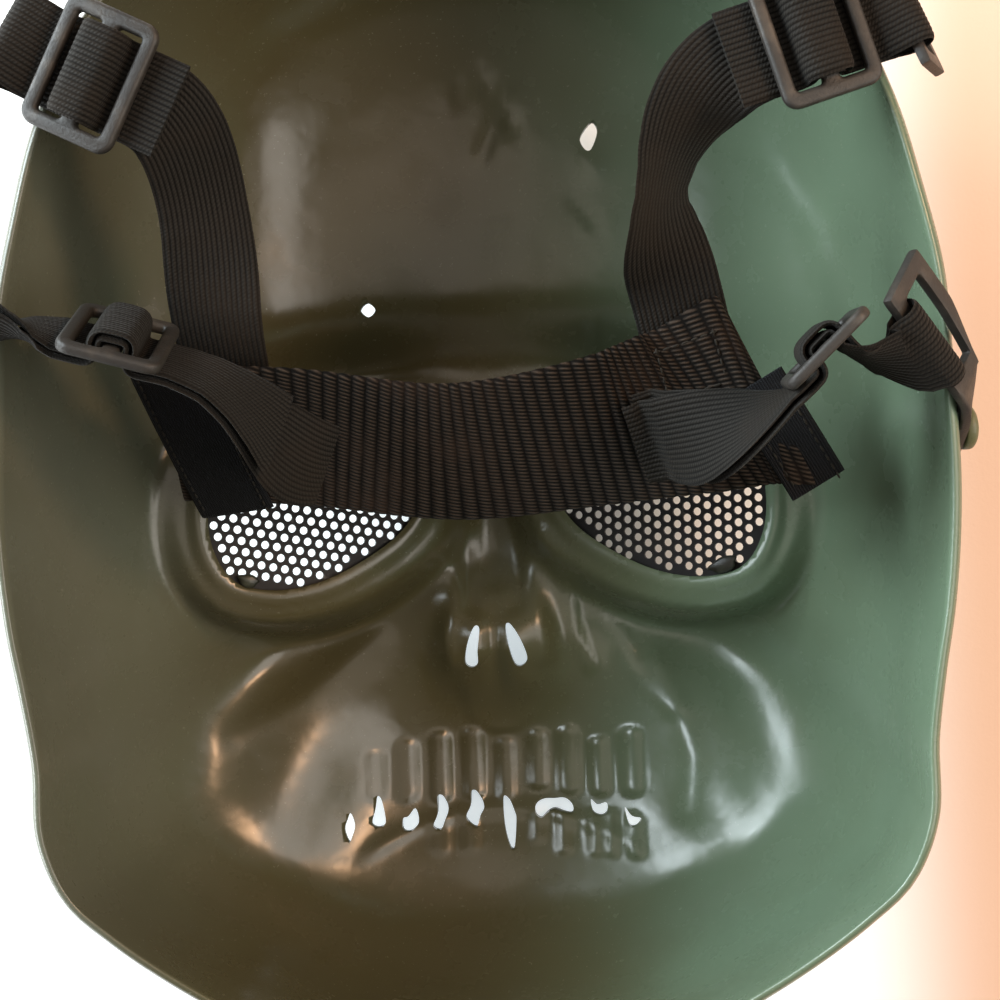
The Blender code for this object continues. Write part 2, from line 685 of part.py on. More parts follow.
class Path:
    """Centre line of a strap: points, the way across the webbing there, and corner radii."""

    def __init__(self):
        self.knots = []

    def at(self, point, across, radius=0.0, facing=None):
        self.knots.append((Vector(point), Vector(across).normalized(), radius, facing))

    def local(self, frame, along, height, radius=0.0):
        self.at(frame @ Vector((along, 0.0, height)), frame.col[1].xyz, radius)

    def over(self, frames, heights, way=1):
        """Layer of webbing at heights over the frames of a span; way is -1 going back on it."""
        for frame, height in zip(frames, heights):
            self.at(frame @ Vector((0.0, 0.0, height)), frame.col[1].xyz, 0.0,
                    frame.col[2].xyz * way)

    def frames(self, arc_steps=3):
        """Frames along the path, with its corners rounded by arcs."""
        points, sides, facings = [], [], []
        for k, (point, across, radius, facing) in enumerate(self.knots):
            if radius == 0.0 or k in (0, len(self.knots) - 1):
                points.append(point)
                sides.append(across)
                facings.append(facing)
                continue
            before = (self.knots[k - 1][0] - point).normalized()
            after = (self.knots[k + 1][0] - point).normalized()
            half = before.angle(after) / 2
            reach = radius / math.tan(half)
            centre = point + (before + after).normalized() * (radius / math.sin(half))
            first = point + before * reach - centre
            last = point + after * reach - centre
            sweep = first.rotation_difference(last)
            for step in range(arc_steps + 1):
                part = sweep.copy()
                part.identity()
                part = part.slerp(sweep, step / arc_steps)
                points.append(centre + part @ first)
                sides.append(across)
                facings.append(None)
        made = []
        for k, (point, across, facing) in enumerate(zip(points, sides, facings)):
            if facing is None:
                run = points[min(k + 1, len(points) - 1)] - points[max(k - 1, 0)]
            else:
                run = across.cross(facing)
            made.append(frame_from(point, run, across))
        return made


def seat_frame(centre, run, face):
    """Frame with X along the strap, Y across it and Z out of its upper face."""
    run, face = Vector(run).normalized(), Vector(face).normalized()
    return frame_from(place(*centre), run, face.cross(run))


def moved(frame, x, y, z):
    return frame @ Matrix.Translation((x, y, z))


def band_strap_frame(along, across, face, run, rise=0.0):
    """Frame of a strap layer that lies on a face of the band and runs along it or across it."""
    band = band_frame(along)
    height = face * ((BAND_THICKNESS + STRAP_THICKNESS) / 2 + SEAM + rise)
    origin = band @ Vector((0.0, across * BAND_WIDTH, height))
    run = band.to_3x3() @ Vector(run)
    return frame_from(origin, run, band.col[2].xyz.cross(run))


def eased(start, end, count):
    """Numbers from start to end that leave and arrive gently."""
    return [start + (end - start) * float(smooth_step(k / (count - 1))) for k in range(count)]


def strap_path(name):
    slider = seat_frame(*SLIDER_SEATS[name])
    lift = SLIDER_THICKNESS / 2 + GAP + STRAP_THICKNESS / 2
    layer = STRAP_THICKNESS + GAP
    inner = SLIDER_BAR / 2 + GAP + STRAP_THICKNESS / 2
    bend = GAP + STRAP_THICKNESS / 2
    end = SLIDER_LENGTH / 2 + SLIDER_CLEAR
    upper = name.startswith("upper")

    # On the band and up to the slider
    start_along, start_across, exit_along, exit_across, face, knot, knot_face = BAND_SEATS[name]
    run = (0, 1, 0) if upper else (math.copysign(1, exit_along - start_along), 0, 0)
    path = Path()
    for k in range(3):
        along = start_along + (exit_along - start_along) * k / 2
        across = start_across + (exit_across - start_across) * k / 2
        leave = band_strap_frame(along, across, face, run, UPPER_SEAM if upper else 0.0)
        path.local(leave, 0.0, 0.0)
    arrive = moved(slider, -end, 0.0, -lift - layer)
    if knot:
        middle = place(*knot)
        way = (arrive.translation - leave.translation).normalized() + Vector((0.0, 0.6, 0.0))
        middle = frame_from(middle, way, Vector(knot_face).cross(way))
        near = span_frames(leave, middle)[1:] + span_frames(middle, arrive)[1:]
    else:
        peel = leave @ Matrix.Rotation(-PEEL, 4, "Y")
        near = span_frames(moved(peel, 0.002, 0.0, 0.0), arrive)
    path.over(near, [0.0] * len(near))

    # First pass, up over the middle bar and down again
    path.local(slider, -inner, -lift - layer, bend + layer)
    path.local(slider, -inner, lift, bend)
    path.local(slider, inner, lift, bend)

    # Out to the buckle's bar, round it and back
    bar, bar_radius = bar_frame(name, slider)
    reach = bar_radius + GAP + STRAP_THICKNESS / 2
    if name in STRAIGHT_OUT:
        exit_place = slider @ Vector((inner + layer / 2, 0.0, -lift - STRAIGHT_LENGTH))
        leave_slider = frame_from(exit_place, -slider.col[2].xyz, slider.col[1].xyz)
    else:
        path.local(slider, inner, -lift - layer, bend + layer)
        leave_slider = moved(slider, end, 0.0, -lift - layer / 2)
    far = span_frames(leave_slider, bar)
    path.over(far, eased(-layer / 2, -reach, len(far)))
    for step in range(1, BAR_STEPS):
        turn = math.pi * (step / BAR_STEPS - 0.5)
        path.local(bar, reach * math.cos(turn), reach * math.sin(turn))
    path.over(far[::-1], eased(reach, layer / 2, len(far)), -1)

    # Second pass over the first one, and the tail
    if name not in STRAIGHT_OUT:
        path.local(slider, inner + layer, -lift, bend)
    path.local(slider, inner + layer, lift + layer, bend + layer)
    path.local(slider, -inner - layer, lift + layer, bend + layer)
    path.local(slider, -inner - layer, -lift, bend)
    path.local(slider, -end, -lift)
    if upper:
        path.local(slider, -end - TAIL_PAST_SLIDER, -lift)
        return path
    back = list(zip(near[-2:0:-1], eased(layer, TAIL_RISE, len(near))[1:]))
    if name not in TAIL_OVER_BAND:
        back = back[:round(len(back) * TAIL_SHARE)]
    path.over(*zip(*back), -1)
    if name not in TAIL_OVER_BAND:
        return path
    for k in range(1, 4):
        along = exit_along + (TAIL_OVER_BAND[name] - exit_along) * k / 3
        over = band_strap_frame(along, exit_across, face, run, TAIL_RISE)
        path.local(over, 0.0, 0.0)
    return path


def plate_frame(name):
    """Frame of a rim buckle's plate, with its origin at the free end of the strap's bar."""
    centre, run, across, _ = BUCKLE_SEATS[name]
    frame = frame_from(place(*centre), run, across)
    return moved(frame, -BUCKLE_LENGTH / 2, -BUCKLE_FRAME / 2, 0.0)


def bar_frame(name, slider):
    """Frame on the buckle bar that the strap goes round, and the bar's reach from its axis."""
    plate = plate_frame(name)
    centre = plate @ Vector((BUCKLE_LENGTH / 2, BUCKLE_FRAME / 2, 0.0))
    axis = plate.col[0].xyz
    if axis.dot(slider.col[1].xyz) < 0.0:
        axis = -axis
    pull = centre - slider.translation
    pull = (pull - axis * pull.dot(axis)).normalized()
    frame = Matrix((pull, axis, pull.cross(axis))).transposed().to_4x4()
    frame.translation = centre
    return frame, math.hypot(BUCKLE_FRAME / 2, BUCKLE_THICKNESS / 2)


def wall_frame(angle_degrees, depth):
    """Frame on the outer wall below the rim: Z out of the wall, X along the rim."""
    angle = math.radians(angle_degrees)
    radii = np.linspace(0.7, 1.0, 31)
    angles = np.full(radii.shape, angle)
    points = bowl(radii, angles)
    radius = np.interp(points[-1, 2] - depth, points[:, 2], radii)
    here = np.array([radius]), np.array([angle])
    normal = Vector(wall_normal(*here, lambda wall: wall, 0.01)[0])
    point = Vector(bowl(*here)[0]) + normal * WALL
    along = Vector((-math.sin(angle), math.cos(angle), 0.0))
    x = (along - normal * along.dot(normal)).normalized()
    frame = Matrix((x, normal.cross(x), normal)).transposed().to_4x4()
    frame.translation = point
    return frame


def make_buckle(name, look):
    plate = plate_frame(name)
    wall = wall_frame(BUCKLE_SEATS[name][3], RIVET_DEPTH)
    out = wall.col[2].xyz
    rivet = wall @ Vector((0.0, 0.0, GAP + BUCKLE_THICKNESS / 2))
    middle = TONGUE_WIDTH / 2

    columns = []
    for u in (0.0, BUCKLE_FRAME, BUCKLE_LENGTH / 2, BUCKLE_LENGTH - BUCKLE_FRAME, BUCKLE_LENGTH):
        frame = plate @ Matrix.Translation((u, middle, 0.0))
        taper = 1.0 - 0.85 * smooth_step((u / BUCKLE_LENGTH - 0.45) / 0.6)
        columns.append((frame, taper))
    root = columns[-1][0]
    facing = 1.0 if root.col[2].xyz.dot(out) > 0.0 else -1.0
    way = rivet - root.translation
    way = (way - out * way.dot(out)).normalized()
    arrive = rivet - way * TONGUE_END
    points = [f.translation for f in span_frames(root, frame_from(arrive, way, out.cross(way)))]
    points = points[1:-1]
    steps = len(points)
    for k, point in enumerate(points + [arrive, rivet + way * TONGUE_END], 1):
        part = min(k / (steps + 1), 1.0)
        following = (points + [arrive, rivet + way * TONGUE_END])[min(k, steps + 1)]
        heading = way if k > steps else (following - point).normalized()
        z = (root.col[2].xyz * (1 - part) + facing * out * part).normalized()
        columns.append((frame_from(point, heading, z.cross(heading)), 1.0))

    v_lines = (0.0, BUCKLE_FRAME, TONGUE_WIDTH, BUCKLE_BREADTH - BUCKLE_FRAME, BUCKLE_BREADTH)
    vertices = []
    for frame, taper in columns:
        for v in v_lines:
            y = v - middle if v <= TONGUE_WIDTH else middle + (v - TONGUE_WIDTH) * taper
            for z in (-BUCKLE_THICKNESS / 2, BUCKLE_THICKNESS / 2):
                vertices.append(frame @ Vector((0.0, y, z)))

    def kept(i, j):
        if i >= 4:
            return j < 2
        return i in (0, 3) or j in (0, 3)

    def index(i, j, k):
        return (i * len(v_lines) + j) * 2 + k

    faces = []
    for i in range(len(columns) - 1):
        for j in range(4):
            if not kept(i, j):
                continue
            faces.append(tuple(index(*c, 1) for c in ((i, j), (i + 1, j), (i + 1, j + 1), (i, j + 1))))
            faces.append(tuple(index(*c, 0) for c in ((i, j), (i, j + 1), (i + 1, j + 1), (i + 1, j))))
            for di, dj, a, b in ((0, -1, (i, j), (i + 1, j)), (1, 0, (i + 1, j), (i + 1, j + 1)),
                                 (0, 1, (i + 1, j + 1), (i, j + 1)), (-1, 0, (i, j + 1), (i, j))):
                ni, nj = i + di, j + dj
                inside = 0 <= ni < len(columns) - 1 and 0 <= nj < 4
                if not (inside and kept(ni, nj)):
                    faces.append((index(*a, 0), index(*b, 0), index(*b, 1), index(*a, 1)))
    used = sorted({k for face in faces for k in face})
    renumber = {k: n for n, k in enumerate(used)}
    buckle = new_object("buckle_" + name, [vertices[k] for k in used],
                        [tuple(renumber[k] for k in face) for face in faces], look)
    play = RIVET_SHANK_RADIUS + RIVET_PLAY
    cut(buckle, cutter("rivet_hole_" + name,
                       [turned(((play, -0.002), (play, 0.006)), wall, 10)]))
    return buckle


def make_rivet(name, look):
    wall = wall_frame(BUCKLE_SEATS[name][3], RIVET_DEPTH)
    seat = GAP + BUCKLE_THICKNESS + GAP
    top = seat + RIVET_HEAD_THICKNESS
    profile = (
        # radius, height out of the wall
        (RIVET_SHANK_RADIUS, -WALL * 0.9),
        (RIVET_SHANK_RADIUS, seat),
        (RIVET_HEAD_RADIUS, seat),
        (RIVET_HEAD_RADIUS, top - 0.0006),
        (RIVET_HEAD_RADIUS - 0.0006, top),
    )
    return new_object("rivet_" + name, *turned(profile, wall), look)


def make_slider(name, look):
    frame = seat_frame(*SLIDER_SEATS[name])
    outline = rounded_rectangle(SLIDER_LENGTH / 2, SLIDER_BREADTH / 2, 0.003)
    slot_half_y = STRAP_WIDTH / 2 + SLOT_PLAY
    slot_half_x = (SLIDER_LENGTH / 2 - SLIDER_FRAME - SLIDER_BAR / 2) / 2
    slot_x = SLIDER_BAR / 2 + slot_half_x
    slots = [rounded_rectangle(slot_half_x, slot_half_y, 0.0004, 1, (side * slot_x, 0.0))
             for side in (-1, 1)]
    mesh = plate_mesh(outline, slots, SLIDER_THICKNESS, frame)
    made = bpy.data.objects.new("slider_" + name, mesh)
    bpy.context.collection.objects.link(made)
    made.data.materials.append(look)
    return made


def make_band(look):
    frames = [band_frame(share) for share in np.linspace(0.004, 0.996, 27)]
    return ribbon("head_band", frames, BAND_WIDTH, BAND_THICKNESS, look)


def stand_on_origin():
    """Moves the whole mask so that the bottom centre of its box is the origin."""
    bpy.context.view_layer.update()
    depsgraph = bpy.context.evaluated_depsgraph_get()
    pieces = [o for o in bpy.data.objects if o.type == "MESH"]
    corners = [o.matrix_world @ v.co for o in pieces if not o.hide_render
               for v in o.evaluated_get(depsgraph).data.vertices]
    low = Vector([min(c[k] for c in corners) for k in range(3)])
    high = Vector([max(c[k] for c in corners) for k in range(3)])
    for piece in pieces:
        piece.location -= Vector(((low.x + high.x) / 2, (low.y + high.y) / 2, low.z))


def main():
    for old in list(bpy.data.objects):
        bpy.data.objects.remove(old)

    shell_plastic = material("olive_plastic", (0.10, 0.14, 0.09), 0.3)
    rivet_plastic = material("rivet_plastic", (0.13, 0.14, 0.07), 0.4)
    fitting_plastic = material("fitting_plastic", (0.04, 0.036, 0.03), 0.45)
    steel = material("black_steel", (0.02, 0.02, 0.02), 0.45, 0.8)
    webbing = material("black_webbing", (0.012, 0.011, 0.01), 0.9)
    band_webbing = material("band_webbing", (0.025, 0.018, 0.013), 0.9)

    names = list(BUCKLE_SEATS)
    make_shell(shell_plastic, [wall_frame(BUCKLE_SEATS[n][3], RIVET_DEPTH) for n in names])
    make_eye_mesh(1, "eye_mesh_right", steel)
    make_eye_mesh(-1, "eye_mesh_left", steel)
    make_band(band_webbing)
    for name in names:
        ribbon("strap_" + name, strap_path(name).frames(), STRAP_WIDTH, STRAP_THICKNESS, webbing)
        make_slider(name, fitting_plastic)
        make_buckle(name, fitting_plastic)
        make_rivet(name, rivet_plastic)
    stand_on_origin()


main()
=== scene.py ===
# %% [markdown]
# # A skull mask with a webbing harness
#
# The real thing is one thin shell of olive plastic, moulded over a skull form, with a sheet of
# perforated steel in each eye and a harness of woven tape. It lies on its face, so we look into
# the side that the wearer sees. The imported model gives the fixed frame: every piece that is made
# here lies where its solid lies, in metres, with Z up out of the hollow and Y to the forehead.

# %% Load the fixed frame
import json
import math

import bmesh
import bpy
import numpy as np
from mathutils import Matrix, Vector

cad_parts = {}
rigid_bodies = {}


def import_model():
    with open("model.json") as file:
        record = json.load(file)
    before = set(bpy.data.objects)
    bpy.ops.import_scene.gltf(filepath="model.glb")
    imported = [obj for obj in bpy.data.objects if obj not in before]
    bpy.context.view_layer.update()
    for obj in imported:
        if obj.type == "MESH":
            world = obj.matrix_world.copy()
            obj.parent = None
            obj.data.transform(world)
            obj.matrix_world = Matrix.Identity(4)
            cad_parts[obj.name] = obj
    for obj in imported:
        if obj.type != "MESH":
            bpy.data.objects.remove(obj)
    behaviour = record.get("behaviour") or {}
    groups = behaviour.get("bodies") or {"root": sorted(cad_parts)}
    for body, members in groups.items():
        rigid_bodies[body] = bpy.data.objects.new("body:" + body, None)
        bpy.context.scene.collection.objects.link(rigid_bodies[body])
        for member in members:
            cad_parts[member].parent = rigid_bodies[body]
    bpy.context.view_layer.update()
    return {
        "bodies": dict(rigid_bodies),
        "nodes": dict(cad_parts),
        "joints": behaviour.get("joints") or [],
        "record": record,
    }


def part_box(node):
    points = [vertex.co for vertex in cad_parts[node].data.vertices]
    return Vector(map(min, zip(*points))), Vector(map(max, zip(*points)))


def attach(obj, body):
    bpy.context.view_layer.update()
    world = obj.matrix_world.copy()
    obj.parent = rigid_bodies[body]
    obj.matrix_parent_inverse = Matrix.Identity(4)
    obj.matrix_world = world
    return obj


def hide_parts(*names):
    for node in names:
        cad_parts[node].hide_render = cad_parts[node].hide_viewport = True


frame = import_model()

shell_low, shell_high = (Vector(corner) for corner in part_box("shell"))
SHELL_MIDDLE = Vector(((shell_low.x + shell_high.x) / 2, 0.0, 0.0))
MM = 0.001
print("solids:", len(frame["nodes"]), "shell's middle:", [round(c, 4) for c in SHELL_MIDDLE])


def smooth_step(value):
    """0 below 0, 1 above 1 and a soft S between."""
    value = np.clip(value, 0.0, 1.0)
    return value * value * (3.0 - 2.0 * value)


def hill(away, spread):
    """Gaussian hill, 1 in its middle."""
    return np.exp(-0.5 * (away / spread) ** 2)


def cubic(t, start, start_slope, end, end_slope):
    """Point of a cubic between two places with given slopes."""
    return (start * (2 * t ** 3 - 3 * t ** 2 + 1) + start_slope * (t ** 3 - 2 * t ** 2 + t)
            + end * (3 * t ** 2 - 2 * t ** 3) + end_slope * (t ** 3 - t ** 2))


def cubic_run(t, start, start_slope, end, end_slope):
    """Slope of the same cubic."""
    return (start * (6 * t ** 2 - 6 * t) + start_slope * (3 * t ** 2 - 4 * t + 1)
            + end * (6 * t - 6 * t ** 2) + end_slope * (3 * t ** 2 - 2 * t))


# %% [markdown]
# ## Writing shader maths as plain expressions
#
# A material is a tree of nodes, and building one by hand hides the idea behind the wiring. This
# small class holds one socket and turns +, -, * and ** into Math nodes, so a weave can be
# written like a formula. Everything else comes from one method, `node`, that takes the node's
# type, its settings and what goes into its sockets. Colours go through Mix nodes, because a Math
# node would turn them grey.

# %% Values and finishes
class Value:
    """A number that varies over a surface."""

    def __init__(self, finish, socket):
        self.finish = finish
        self.socket = socket

    def math(self, operation, *others):
        return self.finish.node("ShaderNodeMath", {"operation": operation},
                                dict(enumerate((self, *others))))

    def __add__(self, other):
        return self.math("ADD", other)

    def __sub__(self, other):
        return self.math("SUBTRACT", other)

    def __rsub__(self, other):
        return (self * -1.0) + other

    def __mul__(self, other):
        return self.math("MULTIPLY", other)

    def __pow__(self, other):
        return self.math("POWER", other)

    __radd__ = __add__

    def above(self, low, high):
        """0 below low, 1 above high, soft between."""
        return self.finish.node("ShaderNodeMapRange", {"interpolation_type": "SMOOTHSTEP"},
                                {"Value": self, "From Min": low, "From Max": high})


class Finish:
    """A material and the nodes that make it."""

    def __init__(self, name, **constants):
        self.material = bpy.data.materials.new(name)
        self.material.use_nodes = True
        self.tree = self.material.node_tree
        self.shader = self.tree.nodes["Principled BSDF"]
        for socket, value in constants.items():
            self.plug(self.shader.inputs[socket.replace("_", " ")], value)

    def plug(self, socket, value):
        if isinstance(value, Value):
            self.tree.links.new(value.socket, socket)
        elif isinstance(value, tuple) and len(value) == 3 and socket.type == "RGBA":
            socket.default_value = (*value, 1.0)
        else:
            socket.default_value = value

    def node(self, kind, settings=None, inputs=None, output=0):
        made = self.tree.nodes.new(kind)
        for name, value in (settings or {}).items():
            setattr(made, name, value)
        for key, value in (inputs or {}).items():
            self.plug(made.inputs[key], value)
        return Value(self, made.outputs[output])

    def place(self):
        """Object coordinates, which are metres in the mask's frame here."""
        return self.node("ShaderNodeTexCoord", output="Object")

    def split(self, vector):
        made = self.tree.nodes.new("ShaderNodeSeparateXYZ")
        self.plug(made.inputs[0], vector)
        return [Value(self, socket) for socket in made.outputs]

    def own(self, name):
        """One of the piece's own attributes, as x, y and z."""
        return self.split(self.node("ShaderNodeAttribute", {"attribute_name": name},
                                    output="Vector"))

    def noise(self, vector, size, detail=2.0, roughness=0.5):
        """Soft noise from 0 to 1 with blotches of about this size in metres."""
        return self.node("ShaderNodeTexNoise", None,
                         {"Vector": vector, "Scale": 1.0 / size, "Detail": detail,
                          "Roughness": roughness})

    def mix(self, factor, first, second):
        return self.node("ShaderNodeMix", {"data_type": "RGBA"},
                         {0: factor, 6: first, 7: second}, 2)

    def use(self, socket, value):
        self.plug(self.shader.inputs[socket], value)
        return self

    def relief(self, height, distance, strength=1.0):
        """Bump from a height between 0 and 1."""
        bump = self.node("ShaderNodeBump", None,
                         {"Height": height, "Distance": distance, "Strength": strength})
        return self.use("Normal", bump)


# %% [markdown]
# ## The olive plastic
#
# Injection-moulded plastic of this kind is glossy on the inside, but never perfectly flat: the
# melt leaves slow ripples, the colour is a little uneven, and handling adds dust and hairline
# scratches. The left and middle of the mask are painted browner and darker, as painted shade,
# and the right side greener, as painted light; the far left wall is painted a lighter grey-olive,
# as a painted haze of light. The gloss does most of the work here, so the finish is mainly a low
# roughness that is broken up softly, and a bump with several sizes of ripple. An attribute called
# `trim` marks the cut edge, where the plastic is scuffed browner, and a lighter line just inside
# it that is a painted highlight.

# %% Olive plastic finish
def olive_plastic():
    finish = Finish("olive_plastic", Specular_IOR_Level=0.55)
    place = finish.place()
    x = finish.split(place)[0]
    clouds = finish.noise(place, 0.045, 3.0)
    grain = finish.noise(place, 0.0012, 2.0)
    # Painted shade and light: the left and middle are painted a darker brown, the right a lighter
    # green.
    painted_shade_left = (0.040 - x).above(-0.040, 0.050) * 0.85 + clouds * 0.35 - 0.12
    olive = finish.mix(painted_shade_left.above(0.0, 1.0), (0.125, 0.180, 0.118), (0.070, 0.058, 0.026))
    # Painted haze of light: the far left wall is painted a lighter grey-olive.
    olive = finish.mix((x * -1.0).above(0.045, 0.092) * 0.8, olive, (0.115, 0.122, 0.092))
    flecks = finish.noise(place, 0.0007, 1.0).above(0.70, 0.78)
    rim, painted_rim_highlight, _ = finish.own("trim")
    colour = finish.mix(clouds.above(0.40, 0.80) * 0.25, olive, (0.080, 0.092, 0.050))
    colour = finish.mix(flecks * 0.30, colour, (0.30, 0.31, 0.24))
    colour = finish.mix(rim * 0.8, colour, (0.16, 0.125, 0.065))
    # Painted highlight: a lighter green line on the inner face just inside the rim.
    colour = finish.mix(painted_rim_highlight * 0.35, colour, (0.15, 0.21, 0.125))
    finish.use("Base Color", colour)
    smudges = finish.noise(place, 0.018, 4.0, 0.65)
    finish.use("Roughness", 0.19 + smudges.above(0.35, 0.8) * 0.16 + rim * 0.25 + grain * 0.04)
    stretched = finish.node("ShaderNodeMapping", None,
                            {"Vector": place, "Rotation": (0.0, 0.0, 0.7), "Scale": (1, 0.06, 1)})
    scratches = finish.noise(stretched, 0.0011, 1.0).above(0.72, 0.80)
    ripple = finish.noise(place, 0.022, 1.0)
    slow = finish.noise(place, 0.009, 2.0)
    height = ripple + slow * 0.30 + grain * 0.008 - scratches * 0.010
    return finish.relief(height, 0.0011, 0.55).material


OLIVE = olive_plastic()
print("finish:", OLIVE.name)

# %% [markdown]
# ## The shape of the shell
#
# A skull mask is a bowl first and a face second. The bowl is one closed outline for the rim and
# a profile whose fullness changes round it: the chin and jaw are boxy, the temples are round.
# The same numbers made the solid, so the detailed shell lies exactly on it. The table gives the
# right half, and the left half is its mirror image.

# %% Outline and bowl
HALF_WIDTH = 0.097
HALF_LENGTH = 0.130
RIM_HEIGHT = 0.097
BOWL_FLOOR = 0.013
WALL = 0.0022
WALL_STEPS = 40

OUTLINE = np.array((
    # angle, x share, y share, fullness, drop
    (-90.0, 0.000, -1.000, 4.6, 0.085),
    (-76.6, 0.309, -0.969, 4.6, 0.070),
    (-63.8, 0.570, -0.864, 4.4, 0.040),
    (-58.5, 0.670, -0.815, 4.2, 0.028),
    (-51.3, 0.796, -0.742, 4.0, 0.012),
    (-46.0, 0.880, -0.681, 3.8, 0.005),
    (-40.0, 0.933, -0.585, 3.5, 0.000),
    (-33.8, 0.940, -0.469, 3.1, 0.000),
    (-26.9, 0.957, -0.362, 2.8, 0.000),
    (-19.1, 0.981, -0.254, 2.5, 0.000),
    (-7.0, 1.000, -0.092, 2.3, 0.000),
    (7.0, 0.995, 0.092, 2.2, 0.000),
    (21.6, 0.976, 0.288, 2.3, 0.000),
    (28.5, 0.948, 0.385, 2.4, 0.005),
    (39.7, 0.889, 0.550, 2.6, 0.018),
    (50.0, 0.794, 0.708, 2.8, 0.038),
    (60.4, 0.639, 0.838, 3.0, 0.065),
    (74.7, 0.351, 0.954, 3.1, 0.110),
    (90.0, 0.000, 1.000, 3.1, 0.130),
))


def place(x, y, z):
    """Point from shares of the shell's half width, half length and rim height."""
    return Vector((x * HALF_WIDTH, y * HALF_LENGTH, z * RIM_HEIGHT))


def cubic_table(x, knots, values):
    """Smooth curve through a table with uneven knots."""
    slopes = np.gradient(values, knots)
    cell = np.clip(np.searchsorted(knots, x) - 1, 0, len(knots) - 2)
    span = knots[cell + 1] - knots[cell]
    t = (x - knots[cell]) / span
    return cubic(t, values[cell], span * slopes[cell], values[cell + 1], span * slopes[cell + 1])


def rim_section(angle):
    """Rim point, wall fullness and rim height for angles round the rim in radians."""
    first, last = OUTLINE[2:0:-1].copy(), OUTLINE[-2:-4:-1].copy()
    first[:, 0] = -180.0 - first[:, 0]
    last[:, 0] = 180.0 - last[:, 0]
    first[:, 1] *= -1.0
    last[:, 1] *= -1.0
    rows = np.vstack((first, OUTLINE, last))
    side = np.where(np.cos(angle) < 0.0, -1.0, 1.0)
    folded = np.degrees(np.arctan2(np.sin(angle), np.abs(np.cos(angle))))
    x, y, fullness, drop = (cubic_table(folded, rows[:, 0], column) for column in rows.T[1:])
    return side * x * HALF_WIDTH, y * HALF_LENGTH, fullness, RIM_HEIGHT * (1.0 - drop)


def bowl(radius, angle):
    """Plain bowl; radius 0 to 1 runs evenly along the wall to the rim."""
    rim_x, rim_y, fullness, rim_z = rim_section(angle)
    reach = np.hypot(rim_x, rim_y)
    fall = rim_z - BOWL_FLOOR
    turn = np.linspace(0.0, math.pi / 2, WALL_STEPS + 1)[:, None]
    out = np.sin(turn) ** (2.0 / fullness)
    up = 1.0 - np.cos(turn) ** (2.0 / fullness)
    steps = np.hypot(np.diff(out * reach, axis=0), np.diff(up * fall, axis=0))
    run = np.vstack((np.zeros((1, reach.size)), np.cumsum(steps, axis=0)))
    run /= run[-1]
    cell = np.clip((run < radius).sum(axis=0) - 1, 0, WALL_STEPS - 1)
    column = np.arange(reach.size)
    t = (radius - run[cell, column]) / (run[cell + 1, column] - run[cell, column])
    out = out[cell, column] * (1 - t) + out[cell + 1, column] * t
    up = up[cell, column] * (1 - t) + up[cell + 1, column] * t
    return np.column_stack((out * rim_x, out * rim_y, BOWL_FLOOR + up * fall))


# %% [markdown]
# ## The bones
#
# The face is pressed into the bowl as a sum of soft swellings: brows, cheek bones, muzzle and
# chin go out, the nose opening and the temples go in. Each one is a Gaussian hill with its own
# size and turn. Because the wall has one thickness, what bulges outside is a hollow inside.

# %% Broad relief and eye openings
RELIEF = (
    # name, swell in mm, x, y, spread x, spread y as shares, turn in degrees
    ("brow", 14.0, 0.392, 0.177, 0.227, 0.0615, -8.0),
    ("glabella", 5.0, 0.0, 0.131, 0.103, 0.069, 0.0),
    ("nose_bone", 6.0, 0.0, -0.162, 0.046, 0.100, 0.0),
    ("aperture", -9.0, 0.062, -0.346, 0.067, 0.065, 8.0),
    ("nose_spine", 4.0, 0.0, -0.354, 0.023, 0.046, 0.0),
    ("muzzle", 11.7, 0.0, -0.600, 0.371, 0.169, 0.0),
    ("cheek_bone", 8.0, 0.557, -0.346, 0.206, 0.062, -28.0),
    ("cheek_hollow", -5.0, 0.536, -0.600, 0.113, 0.115, 20.0),
    ("jaw_line", 3.0, 0.515, -0.792, 0.186, 0.054, 22.0),
    ("chin", 5.0, 0.0, -0.862, 0.175, 0.054, 0.0),
    ("temple", -4.0, 0.742, 0.346, 0.072, 0.215, 8.0),
)

EYE_CENTRE = Vector((0.0415, -0.0105))
EYE_HALF = (0.0250, 0.0185)
EYE_PLANE_HEIGHT = 0.032
EYE_PLANE_SLOPE = 0.36
EYE_OUTLINE = ((-1.00, 0.20), (-0.90, 0.62), (-0.55, 0.95), (0.00, 1.00), (0.55, 0.95),
               (0.90, 0.66), (1.00, 0.15), (0.97, -0.42), (0.78, -0.86), (0.42, -1.00),
               (0.00, -0.92), (-0.42, -0.66), (-0.80, -0.28))


def closed_curve(points, samples):
    """Closed smooth curve through a few points."""
    points = np.array(points, dtype=float)
    p0, p1, p2, p3 = (np.roll(points, -k, axis=0)[:, None, :] for k in (-1, 0, 1, 2))
    t = (np.arange(samples) / samples)[None, :, None]
    curve = 0.5 * (2 * p1 + (p2 - p0) * t + (2 * p0 - 5 * p1 + 4 * p2 - p3) * t ** 2
                   + (3 * p1 - p0 - 3 * p2 + p3) * t ** 3)
    return curve.reshape(-1, 2)


def eye_outline(samples=6):
    return closed_curve(EYE_OUTLINE, samples) * EYE_HALF + tuple(EYE_CENTRE)


def line_distance(x, y, points):
    """Distance in the plan to a line through points."""
    best = np.full(x.shape, 1.0)
    for (ax, ay), (bx, by) in zip(points, points[1:]):
        t = np.clip(((x - ax) * (bx - ax) + (y - ay) * (by - ay))
                    / ((bx - ax) ** 2 + (by - ay) ** 2), 0.0, 1.0)
        best = np.minimum(best, np.hypot(x - ax - t * (bx - ax), y - ay - t * (by - ay)))
    return best


